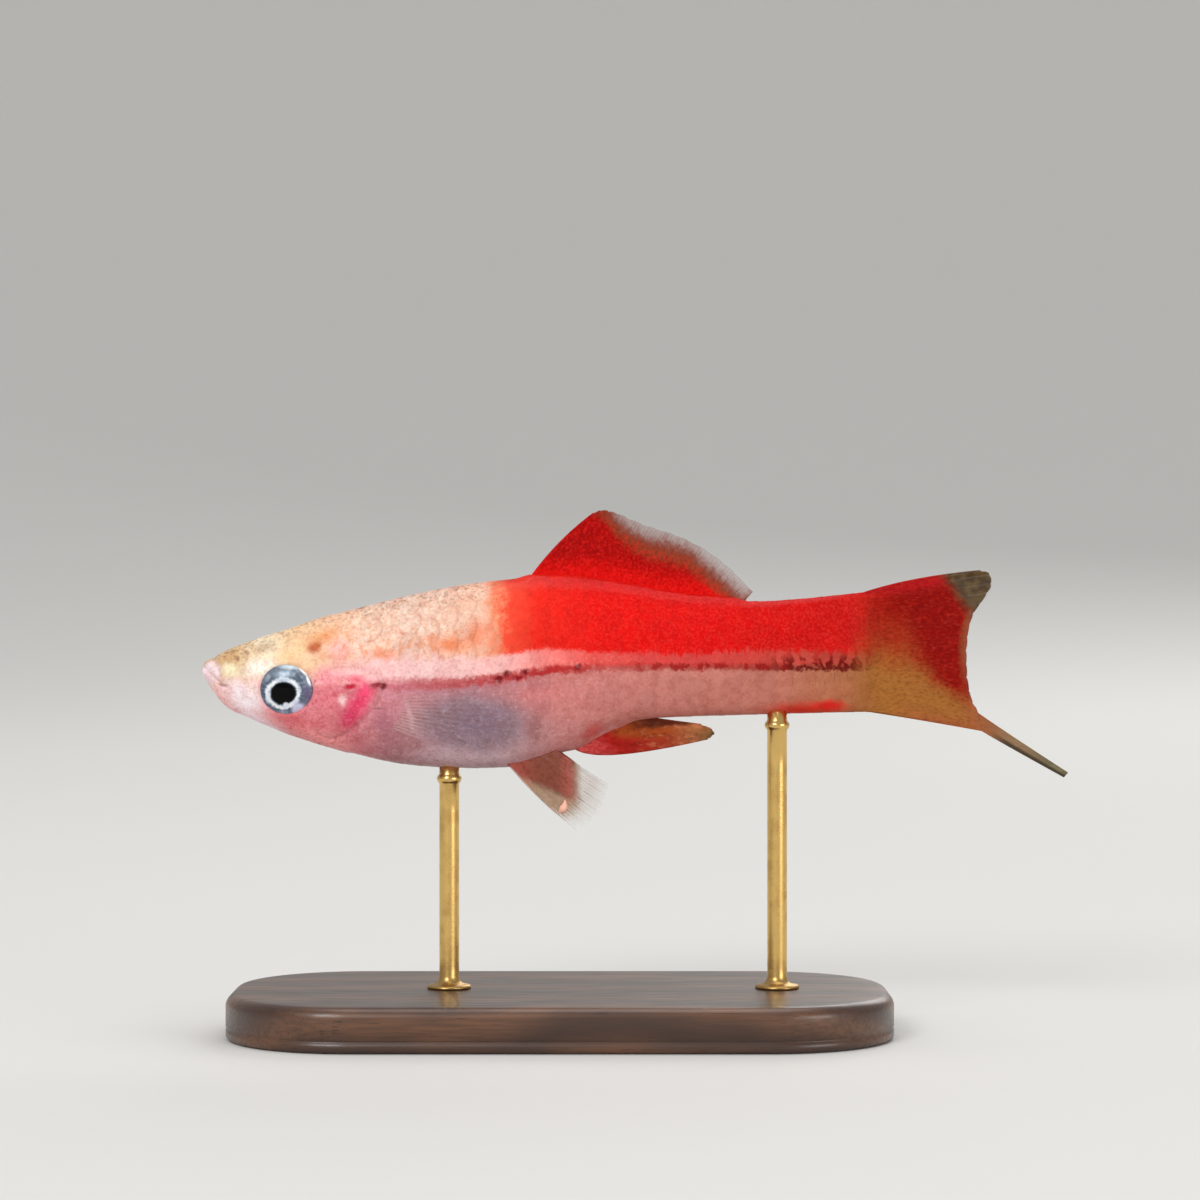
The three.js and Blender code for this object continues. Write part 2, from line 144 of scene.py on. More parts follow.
def rim_faces(rows, columns):
    """Faces that join the rims of two equal grids, the second stored after the first."""
    rim = [*range(columns)] + [i * columns + columns - 1 for i in range(1, rows)]
    rim += [(rows - 1) * columns + j for j in range(columns - 2, -1, -1)]
    rim += [i * columns for i in range(rows - 2, 0, -1)]
    count = rows * columns
    return [[a, count + a, count + b, b] for a, b in zip(rim, rim[1:] + rim[:1])]


# %% [markdown]
# ## Soft noise
# Skin is never even. Sums of sine waves with fixed random directions give smooth, repeatable noise
# without any saved picture.

# %% Seeded noise


def wander(points, size, seed):
    """Smooth noise from -1 to 1 whose lumps are about size across."""
    draw = np.random.default_rng(seed)
    total = 0
    for _ in range(7):
        wave = draw.normal(size=3) * math.tau / size / 1.7
        total = total + np.sin(points @ wave + draw.uniform(0, math.tau))
    return total / 4


# %% [markdown]
# ## The body's shape
# A fish's body is a stack of ovals. Six curves say how they change from snout to tail: the back,
# the belly, half the width, the height where the oval is widest, and how much fuller than an
# ellipse it is above and below. The curves run on the root of s, which gives a blunt snout.

# %% Outlines of the body
BACK = [
    (0, 0.3), (0.4, 0.98), (1, 1.34), (2.45, 2.08), (4.3, 2.82), (8, 4), (10.7, 4.95), (14, 5.85),
    (22.5, 7.8), (27, 8.4), (31, 8.66), (34.5, 8.52), (39, 7.8), (42, 7.2), (46, 6.7), (50, 6.5),
    (54, 6.7), (60, 7.3), (63.8, 7.7),
]
BELLY = [
    (0, 0.1), (0.4, -0.92), (1, -1.8), (1.6, -2.62), (2.45, -3.36), (4.3, -4.2), (8, -5.75),
    (14, -7.55), (18, -8.4), (22.5, -8.75), (27, -8.75), (29.5, -8.4), (34.2, -6.7), (36.5, -5.4),
    (39, -4.55), (42, -4.22), (50, -3.95), (60, -3.7), (63.8, -3.75),
]
HALF_WIDTH = [
    (0, 0.25), (0.4, 0.98), (1, 1.4), (2.45, 2.05), (6, 3.03), (10.7, 3.75), (18, 4.3), (24, 4.2),
    (32, 3.45), (42, 2.42), (54, 1.58), (60, 1.02), (61, 0.72), (62, 0.46), (63, 0.25), (63.8, 0.12),
]
LEVEL = [
    (0, 0.2), (2.45, -0.35), (8, -1.2), (14, -1.6), (22.5, -1.5), (32, -0.6), (42, 0.7), (60, 1.7),
]
FULLER_ABOVE = [(0, 0.1), (4.3, 0.28), (8, 0.25), (14, 0.1), (22.5, 0), (34, 0.02), (60, 0.2)]
FULLER_BELOW = [(0, 0.1), (4.3, 0.02), (34, 0), (60, 0.2)]


def smooth(table):
    """Reads a table of (s, value) rows as one smooth curve."""
    rows = np.array(table, float)
    x, value = np.sqrt(rows[:, 0]), rows[:, 1]
    before = np.maximum(np.arange(len(x)) - 1, 0)
    after = np.minimum(np.arange(len(x)) + 1, len(x) - 1)
    slope = (value[after] - value[before]) / (x[after] - x[before])

    def curve(s):
        root = np.sqrt(np.clip(s, 0, None))
        i = np.clip(np.searchsorted(x, root, side="right") - 1, 0, len(x) - 2)
        span = x[i + 1] - x[i]
        t = (root - x[i]) / span
        lead = t * (1 - t) ** 2 * slope[i] - t * t * (1 - t) * slope[i + 1]
        return value[i] + (value[i + 1] - value[i]) * t * t * (3 - 2 * t) + span * lead

    return curve


back, belly, half_width, level, fuller_above, fuller_below = [
    smooth(table) for table in (BACK, BELLY, HALF_WIDTH, LEVEL, FULLER_ABOVE, FULLER_BELOW)
]


def bare(s, turn):
    """A point of the plain body: turn 0 is the left side, a quarter turn is the back."""
    up = np.sin(turn)
    fuller = 1 + np.where(up > 0, fuller_above(s), fuller_below(s)) * up * up
    rise = np.where(up > 0, back(s) - level(s), level(s) - belly(s))
    y = -np.cos(turn) * half_width(s) * fuller
    return np.stack(np.broadcast_arrays(s, y, level(s) + up * rise), axis=-1)


def outward(s, turn):
    """The direction that points straight out of the plain body."""
    nudge = 0.02
    inside = np.clip(s, nudge, SKIN_LENGTH - nudge)
    along = bare(inside + nudge, turn) - bare(inside - nudge, turn)
    around = bare(inside, turn + nudge) - bare(inside, turn - nudge)
    normal = np.cross(along, around)
    return normal / np.linalg.norm(normal, axis=-1, keepdims=True)


print("body at its deepest", np.round(back(24.0) - belly(24.0), 2), "mm")

# %% [markdown]
# ## Forms on the head
# Lips, nostrils, the hollow of the eye and the gill cover are all small steps of the same skin. So
# each is written as a height above the plain body, as a function of the place in the side view,
# and the heights are added up. A soft step between 0 and 1 is all the mathematics they need.

# %% Heights of the forms
MOUTH_FRONT = np.array([-0.6, 1.14])
MOUTH_CORNER = np.array([2.3, -1.33])
LIP_BACK_TOP = np.array([1.0, 1.5])
NOSTRILS = [(3.3, 1.25, 0.2), (4.2, 1.75, 0.17)]
EYE_CENTRE = np.array([7.94, -1.5])
EYE_SIZE = np.array([2.44, 2.17])
GILL_COVER = [
    (11.4, 0), (13.8, 0.35), (15.7, -0.2), (16.4, -1.5), (15.6, -3.1), (14, -4.8), (12.1, -5.8),
    (10.7, -5.4), (10.2, -3.8), (10.5, -1.6),
]
FIN_BASES = [(29.3, 48.8, 1), (33.5, 38.7, -1)]


def step(value, low, high):
    """Rises softly from 0 at low to 1 at high. It falls where low is above high."""
    t = np.clip((value - low) / (high - low), 0, 1)
    return t * t * (3 - 2 * t)


def bell(value, width):
    """A soft bump of height 1 at value 0."""
    return np.exp(-((value / width) ** 2))


def to_line(side, start, end):
    """How far a place is from a line, across it and along it from 0 to 1."""
    way = end - start
    length = np.linalg.norm(way)
    along = (side - start) @ way / length**2
    across = (side - start) @ np.array([-way[1], way[0]]) / length
    return across, along


def closed_curve(corners, count=160):
    """Points of the smooth closed curve through the corners."""
    p = np.array(corners, float)
    a, b, c, d = np.roll(p, 1, 0), p, np.roll(p, -1, 0), np.roll(p, -2, 0)
    t = np.linspace(0, 1, count // len(p), endpoint=False)[None, :, None]
    a, b, c, d = a[:, None], b[:, None], c[:, None], d[:, None]
    curve = b + t * (c - a) / 2 + t**2 * (a - 2.5 * b + 2 * c - d / 2) + t**3 * (1.5 * (b - c) + (d - a) / 2)
    return curve.reshape(-1, 2)


def to_outline(side, outline):
    """How far each place is from a closed outline, below 0 inside it."""
    nearest = np.full(len(side), np.inf)
    inside = np.zeros(len(side), bool)
    for start, end in zip(outline, np.roll(outline, -1, axis=0)):
        way = end - start
        t = np.clip((side - start) @ way / (way @ way), 0, 1)
        nearest = np.minimum(nearest, np.linalg.norm(side - start - t[:, None] * way, axis=1))
        crosses = (start[1] > side[:, 1]) != (end[1] > side[:, 1])
        meets = start[0] + (side[:, 1] - start[1]) * way[0] / (way[1] + 1e-12)
        inside ^= crosses & (side[:, 0] < meets)
    return np.where(inside, -nearest, nearest)


gill_outline = closed_curve(GILL_COVER)


def mouth_height(side):
    """The line of the mouth, the lips beside it, and the fold behind the upper lip, with painted shade in the
    slit and in the fold.
    """
    across, along = to_line(side, MOUTH_FRONT, MOUTH_CORNER)
    there = step(along, 1.04, 0.88)
    lips = 0.07 * bell(np.abs(across) - 0.38, 0.28) * there
    line = -0.13 * bell(across, 0.07) * there
    fold_across, fold_along = to_line(side, LIP_BACK_TOP, MOUTH_CORNER)
    fold = -0.075 * bell(fold_across, 0.2) * step(fold_along, 1.1, 0.85) * step(fold_along, -0.2, 0.1)
    shade = bell(across, 0.08) * there * (0.1 + 0.6 * step(along, 0.4, 0.95))
    return lips + line + fold, np.maximum(shade, 0.15 * bell(fold_across, 0.2) * there)


def eye_hollow(side):
    """The hollow that the eye sits in, with a low rim around it and painted shade along its edge."""
    r = np.linalg.norm((side - EYE_CENTRE) / EYE_SIZE, axis=1)
    hollow = -1.0 * step(r, 1.0, 0.84) - 0.05 * bell(r - 1.0, 0.05)
    rim = 0.07 * bell(r - 1.15, 0.12)
    return hollow + rim, 0.12 * bell(r - 1.0, 0.04)


def gill_height(side):
    """The gill cover stands up, most at its free rear and lower edge, with painted shade in the groove behind
    it.
    """
    reach = to_outline(side, gill_outline)
    free = step(side[:, 0] + 0.3 * side[:, 1], 10.4, 13.2)
    free = np.maximum(free, step(side[:, 1], -4.2, -5.4))
    plate = 0.1 * step(reach, 0.08, -0.9) * (0.25 + 0.75 * free)
    groove = -0.09 * bell(reach - 0.16, 0.22) * free
    fore = -0.04 * bell(reach, 0.25) * (1 - free)
    ridge = 0.045 * bell(side[:, 0] - 11.9 - 0.12 * (side[:, 1] + 3), 0.35) * step(reach, 0, -0.8)
    return plate + groove + fore + ridge, 0.3 * bell(reach - 0.14, 0.13) * free


def fin_ridge(s, y, up):
    """A low fleshy ridge of the back or belly, along the root of each middle fin."""
    ridge = 0
    for start, end, side in FIN_BASES:
        along = step(s, start - 1.2, start + 0.6) * step(s, end + 0.8, end - 0.8)
        ridge = ridge + 0.32 * along * bell(y, 0.55) * (np.sign(up) == side)
    return ridge


# %% [markdown]
# ## The skin
# One closed skin covers head, trunk and tail stalk, so that no seam shows. Its rings stand closest
# on the head, where the small forms are. Behind the gills it lies a little lower, to leave room for
# the scales that are laid over it.

# %% Skin points
RING_STEPS = [(0.02, 0.05), (1.2, 0.085), (17.5, 0.09), (24.0, 0.28), (63.8, 0.28)]
SKIN_SIDES = 232
SCALE_DEPTH = 0.09


def ring_places():
    """Places of the rings along the body, close together on the head."""
    where, steps = zip(*RING_STEPS)
    places = [where[0]]
    while places[-1] < SKIN_LENGTH - steps[-1]:
        places.append(places[-1] + float(np.interp(places[-1], where, steps)))
    return np.array(places + [SKIN_LENGTH])


def head_end(h):
    """Where the scales begin, behind the gill openings and on the nape."""
    heights = [-8.5, -6.2, -4.6, -2.9, -1.3, 0.3, 2.6, 5.2, 9]
    places = [12.4, 13.6, 15.4, 16.6, 17.0, 16.6, 14.2, 11.6, 10.4]
    return np.interp(h, heights, places)


def tail_end(h):
    """Where the scales end, in a curve over the root of the tail fin."""
    return np.interp(h, [-4, -1, 1.8, 5, 7.6], [60.4, 61.6, 62.1, 61.8, 60.8])


rings = ring_places()
turns = -math.pi / 2 + math.tau * np.arange(SKIN_SIDES) / SKIN_SIDES
ring_s, ring_turn = np.meshgrid(rings, turns, indexing="ij")
ring_s, ring_turn = ring_s.ravel(), ring_turn.ravel()
plain = bare(ring_s, ring_turn)
normal = outward(ring_s, ring_turn)
side_view = plain[:, [0, 2]]

mouth, mouth_painted_shade = mouth_height(side_view)
hollow, eye_painted_shade = eye_hollow(side_view)
gill, gill_painted_shade = gill_height(side_view)
on_side = step(np.abs(plain[:, 1]), 0.25, 0.7)
lift = mouth * step(plain[:, 0], 3.2, 2.4) + hollow + gill * on_side
# Painted shade for the mouth slit, the eye's edge and the groove behind the gill cover. The nostril pits add
# theirs below.
painted_crease_shade = np.maximum(mouth_painted_shade * step(plain[:, 0], 3.2, 2.4), np.maximum(eye_painted_shade, gill_painted_shade * on_side))
for s, h, radius in NOSTRILS:
    r = np.linalg.norm(side_view - np.array([s, h]), axis=1)
    lift = lift - 0.24 * bell(r, radius) + 0.04 * bell(r - 1.7 * radius, 0.12)
    painted_crease_shade = np.maximum(painted_crease_shade, 0.9 * bell(r, radius))
scaled = step(plain[:, 0] - head_end(plain[:, 2]), 0.0, 0.8)
scaled = scaled * step(plain[:, 0] - tail_end(plain[:, 2]), 0.9, -0.9)
lift = lift - SCALE_DEPTH * scaled + fin_ridge(plain[:, 0], plain[:, 1], np.sin(ring_turn))
lift = lift + 0.012 * wander(plain, 1.6, 11) + 0.012 * wander(plain, 0.7, 12) * (1 - scaled)
throat = step(plain[:, 2] + 0.25 * plain[:, 0], -2.6, -3.6) * step(plain[:, 0], 13.2, 11.5)
lift = lift - 0.04 * throat * bell(np.abs(plain[:, 1]) - 0.9, 0.18) * step(plain[:, 0], 3.2, 5)
skin_points = plain + lift[:, None] * normal
print("skin points", len(skin_points))

# %% Skin mesh


def skin_mesh():
    """Joins the rings into one closed skin, with a map of how far along and around."""
    count = len(rings)
    faces = [tuple(face[::-1]) for face in grid_faces(count, SKIN_SIDES, wrap=True)]
    points = np.vstack([skin_points, [[-0.02, 0, 0.2]], [[SKIN_LENGTH, 0, 1.7]]])
    tip, end = len(points) - 2, len(points) - 1
    last = (count - 1) * SKIN_SIDES
    for i in range(SKIN_SIDES):
        j = (i + 1) % SKIN_SIDES
        faces.append((tip, i, j))
        faces.append((end, last + j, last + i))
    skin = new_object("skin", place(*points.T), faces)
    face_out(skin)
    store(skin, "painted_crease_shade", np.append(painted_crease_shade, [0, 0]))
    store(skin, "scaled", np.append(scaled, [0, 0]))
    outwards = skin.data.attributes.new("outward", "FLOAT_VECTOR", "POINT")
    all_round = np.vstack([normal, [[-1, 0, 0]], [[1, 0, 0]]])
    outwards.data.foreach_set("vector", all_round.astype(np.float32).ravel())
    along = np.append(ring_s, [0, SKIN_LENGTH]) / SKIN_LENGTH
    around = (np.append(ring_turn, [0, 0]) + math.pi / 2) / math.tau
    unwrap = skin.data.uv_layers.new(name="unwrap")
    for face in skin.data.polygons:
        whole = [around[v] for v in face.vertices if v < tip]
        crosses = max(whole) - min(whole) > 0.5
        for loop in face.loop_indices:
            v = skin.data.loops[loop].vertex_index
            turn = around[v] if v < tip else sum(whole) / len(whole)
            unwrap.data[loop].uv = (along[v], turn + 1 if crosses and turn < 0.5 else turn)
    return skin


skin = skin_mesh()
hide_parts("head", "trunk", "tail_stalk", "gill_cover_left", "gill_cover_right")
print("skin faces", len(skin.data.polygons))

# %% [markdown]
# ## Shader arithmetic
# A material in Blender is a tree of nodes. Wired by hand, even a short sum takes many lines. So a
# small class stands for one output of a node and knows plain arithmetic: each sign it meets adds a
# Math node. The same class serves Geometry Nodes, which share these nodes.

# %% Nodes from formulas


def find(sockets, key):
    """A socket by its number, its identifier or its name."""
    if isinstance(key, int):
        return sockets[key]
    exact = [socket for socket in sockets if socket.identifier == key]
    return exact[0] if exact else sockets[key]


def add(tree, kind, inputs=None, **settings):
    """Adds a node, makes its settings, and feeds its inputs with wires or plain values."""
    node = tree.nodes.new(kind)
    for name, value in settings.items():
        setattr(node, name, value)
    for key, value in (inputs or {}).items():
        socket = find(node.inputs, key)
        if isinstance(value, Wire):
            tree.links.new(value.socket, socket)
        else:
            socket.default_value = value
    return node


def sign(operation, swap=False):
    """One sign of arithmetic, made as a Math node."""

    def made(left, *others):
        values = (left, *others)[:: -1 if swap else 1]
        return Wire(add(left.tree, "ShaderNodeMath", dict(enumerate(values)), operation=operation))

    return made


class Wire:
    """One output of a node, for use in plain arithmetic."""

    def __init__(self, node, key=0):
        self.socket = find(node.outputs, key)
        self.tree = node.id_data

    __add__ = __radd__ = sign("ADD")
    __mul__ = __rmul__ = sign("MULTIPLY")
    __sub__ = sign("SUBTRACT")
    __rsub__ = sign("SUBTRACT", swap=True)
    __truediv__ = sign("DIVIDE")
    __rtruediv__ = sign("DIVIDE", swap=True)
    size = sign("ABSOLUTE")
    floor = sign("FLOOR")
    wrap = sign("FRACT")
    wave = sign("SINE")
    larger = sign("MAXIMUM")
    smaller = sign("MINIMUM")
    remainder = sign("MODULO")


def rise(value, low, high):
    """Goes softly from 0 at low to 1 at high, and the other way round where low is above high."""
    inputs = {"Value": value, "From Min": low, "From Max": high}
    return Wire(add(value.tree, "ShaderNodeMapRange", inputs, interpolation_type="SMOOTHSTEP"))


def paint(red, green, blue):
    """A colour as it is seen, each part from 0 to 255, as the light that Blender mixes."""
    seen = np.array([red, green, blue]) / 255
    light = np.where(seen <= 0.04045, seen / 12.92, ((seen + 0.055) / 1.055) ** 2.4)
    return (*light.tolist(), 1.0)


def mix(share, under, over, blend="MIX"):
    """Lays one colour over another, by a share from 0 to 1."""
    inputs = {"Factor_Float": share, "A_Color": under, "B_Color": over}
    settings = {"data_type": "RGBA", "blend_type": blend}
    tree = next(part.tree for part in (share, under, over) if isinstance(part, Wire))
    return Wire(add(tree, "ShaderNodeMix", inputs, **settings), "Result_Color")


def ramp(value, stops):
    """A colour read off a scale of (value, colour) stops."""
    low, high = stops[0][0], stops[-1][0]
    inputs = {"Value": value, "From Min": low, "From Max": high}
    part = Wire(add(value.tree, "ShaderNodeMapRange", inputs))
    node = add(value.tree, "ShaderNodeValToRGB", {0: part})
    marks = node.color_ramp.elements
    while len(marks) < len(stops):
        marks.new(0.5)
    for mark, (at, colour) in zip(marks, stops):
        mark.position = (at - low) / (high - low)
    for mark, (at, colour) in zip(marks, stops):
        mark.color = paint(*colour)
    return Wire(node)


def follow(value, table):
    """A number read off a curve through (value, number) points."""
    (start, _), (end, _) = table[0], table[-1]
    numbers = [number for _, number in table]
    low, span = min(numbers), max(numbers) - min(numbers)
    part = Wire(add(value.tree, "ShaderNodeMapRange", {"Value": value, "From Min": start, "From Max": end}))
    node = add(value.tree, "ShaderNodeFloatCurve", {"Value": part})
    curve = node.mapping.curves[0]
    while len(curve.points) < len(table):
        curve.points.new(0.5, 0.5)
    for point, (at, number) in zip(curve.points, table):
        point.location = ((at - start) / (end - start), (number - low) / span)
    node.mapping.update()
    return Wire(node) * span + low


def vector(operation, *values):
    """A Vector Math node."""
    tree = next(value.tree for value in values if isinstance(value, Wire))
    node = add(tree, "ShaderNodeVectorMath", dict(enumerate(values)), operation=operation)
    return Wire(node, "Value" if operation in ("LENGTH", "DISTANCE") else "Vector")


def noise(place, scale, detail=2.0, colour=False, stretch=None):
    """Soft noise round 0.5, with scale lumps to a millimetre."""
    if stretch:
        place = vector("MULTIPLY", place, stretch)
    inputs = {"Vector": place, "Scale": scale, "Detail": detail}
    return Wire(add(place.tree, "ShaderNodeTexNoise", inputs), "Color" if colour else "Fac")


def parts(place):
    """The three numbers of a place."""
    node = add(place.tree, "ShaderNodeSeparateXYZ", {0: place})
    return [Wire(node, i) for i in range(3)]


def together(tree, x, y, z=0.0):
    """A vector from three numbers."""
    return Wire(add(tree, "ShaderNodeCombineXYZ", {0: x, 1: y, 2: z}))


def patch(place, centre, size, turn=0.0, soft=0.6):
    """An oval patch in the side view: 1 inside, 0 outside, with a soft edge."""
    across = 1e4
    inputs = {"Vector": place, "Location": (centre[0], 0, centre[1]), "Rotation": (0, -math.radians(turn), 0)}
    inputs["Scale"] = (size[0], across, size[1])
    node = add(place.tree, "ShaderNodeMapping", inputs, vector_type="TEXTURE")
    return rise(vector("LENGTH", Wire(node)), 1.0, 1.0 - soft)


def specks(place, scale, size, share):
    """Round specks, scale of them to a millimetre, of which only a share shows."""
    node = add(place.tree, "ShaderNodeTexVoronoi", {"Vector": place, "Scale": scale})
    lot = parts(Wire(node, "Color"))[0]
    return rise(Wire(node, "Distance"), size, size * 0.55) * rise(lot, share, share - 0.02)


def new_group(name, inputs, outputs):
    """An empty shader group, with its input and output nodes."""
    group = bpy.data.node_groups.new(name, "ShaderNodeTree")
    for label, kind in inputs.items():
        group.interface.new_socket(label, in_out="INPUT", socket_type=kind)
    for label, kind in outputs.items():
        group.interface.new_socket(label, in_out="OUTPUT", socket_type=kind)
    return group, group.nodes.new("NodeGroupInput"), group.nodes.new("NodeGroupOutput")


def put_out(outside, **results):
    """Links results to a group's outputs."""
    for name, wire in results.items():
        wire.tree.links.new(wire.socket, find(outside.inputs, name))


# %% [markdown]
# ## Where a point lies on the fish
# Every piece of the fish takes its colour from one drawing, so that skin, scales and fins agree.
# The drawing reads Object coordinates, which stay with the model. A Mapping node turns them into
# the fish's own millimetres.

# %% The fish's place in a shader


def fish_place(tree):
    """Object coordinates as s, y and h in millimetres."""
    coordinates = Wire(add(tree, "ShaderNodeTexCoord"), "Object")
    inputs = {"Vector": coordinates, "Scale": (1 / MM,) * 3, "Location": (BASE_CENTRE_S, 0, -SNOUT_HEIGHT)}
    return Wire(add(tree, "ShaderNodeMapping", inputs))


def as_seen(place):
    """Where a place on the fish's side shows in the photo, which is a little further from its middle."""
    middle = (FRAME_CENTRE[0], 0, FRAME_CENTRE[1])
    larger = parts(place)[1].size() / VIEW_DISTANCE + 1.0
    spread = together(place.tree, larger, 1.0, larger)
    return vector("ADD", vector("MULTIPLY", vector("SUBTRACT", place, middle), spread), middle)


def attribute(tree, name):
    """A number stored on the mesh."""
    return Wire(add(tree, "ShaderNodeAttribute", attribute_name=name), "Fac")


def new_material(name):
    """An empty material, with its tree and output node."""
    material = bpy.data.materials.new(name)
    material.use_nodes = True
    tree = material.node_tree
    tree.nodes.clear()
    return material, tree


def dress(tree, inputs, height=None, depth=0.1):
    """Puts a Principled shader at the end of a material, with bump from a height in millimetres."""
    if height is not None:
        bump = add(tree, "ShaderNodeBump", {"Height": height, "Distance": MM, "Strength": depth})
        inputs["Normal"] = Wire(bump)
    shader = Wire(add(tree, "ShaderNodeBsdfPrincipled", inputs))
    add(tree, "ShaderNodeOutputMaterial", {"Surface": shader})


# %% [markdown]
# ## The fish's markings
# The colours run in bands along the body: a back that is cream in front and red behind, a pale
# band, a dark red line, a pink flank and a lilac belly. Each band has its own scale of colours from
# head to tail, and soft noise makes its borders uneven, as pigment cells do.

# %% Bands of colour
BACK_COLOURS = [
    (0, (214, 182, 150)), (3, (228, 198, 156)), (5.5, (248, 232, 200)), (8.5, (246, 208, 164)),
    (12, (247, 204, 172)), (18, (245, 210, 190)), (25.4, (247, 204, 180)), (26.6, (250, 150, 112)),
    (27.8, (250, 80, 54)), (30.6, (242, 34, 18)), (36, (232, 8, 5)), (46, (222, 2, 2)),
    (54, (210, 3, 2)), (58.8, (200, 12, 8)), (60.8, (168, 48, 30)), (64, (156, 52, 32)),
]
BAND_COLOURS = [
    (0, (252, 220, 214)), (12, (252, 188, 188)), (20, (255, 210, 208)), (27, (253, 194, 190)),
    (31, (253, 140, 134)), (35, (244, 96, 90)), (40, (226, 74, 70)), (46, (214, 72, 68)),
    (52, (208, 70, 60)), (57, (182, 50, 38)), (60.8, (164, 70, 46)), (64, (158, 66, 42)),
]
LINE_COLOURS = [
    (0, (210, 110, 125)), (17, (206, 104, 118)), (21, (204, 90, 96)), (26, (186, 56, 58)),
    (32, (186, 44, 42)), (42, (184, 34, 28)), (52, (160, 40, 30)), (60, (140, 56, 38)),
]
FLANK_COLOURS = [
    (0, (250, 206, 204)), (8, (236, 150, 156)), (13, (222, 128, 142)), (18, (206, 140, 150)),
    (24, (190, 134, 144)), (29, (200, 128, 130)), (33, (212, 132, 127)), (45, (204, 130, 118)),
    (52, (194, 120, 103)), (56, (186, 116, 86)), (59, (176, 110, 72)), (64, (160, 102, 54)),
]
BELLY_COLOURS = [
    (0, (252, 224, 228)), (6, (246, 190, 194)), (10, (228, 128, 134)), (14, (212, 128, 136)),
    (18, (194, 144, 152)), (25, (198, 168, 176)), (29, (198, 154, 158)), (33, (206, 136, 133)),
    (40, (208, 132, 124)), (50, (200, 112, 96)), (58, (180, 100, 66)), (64, (160, 98, 54)),
]
LINE_HEIGHT = [
    (10, -1.4), (12.9, -1.27), (22.5, -1.0), (27.9, -0.45), (33, 0.25), (36, 0.36), (64, 0.36),
]
LINE_WIDTH = [(12, 0.3), (18, 0.46), (24, 0.42), (34, 0.26), (40, 0.16), (60, 0.08)]
LINE_STRENGTH = [(14.5, 0), (17, 0.6), (24, 0.85), (33, 0.9), (38, 0.6), (50, 0.8), (60, 0.5)]
BORDER_DRIFT = 0.55
BAND_TOP = [
    (6, -0.6), (10, -0.4), (13, 0.6), (18, 1.45), (24, 1.3), (28, 1.6), (32, 2.05), (36, 1.75),
    (44, 1.65), (52, 1.95), (58, 1.7), (64, 1.4),
]
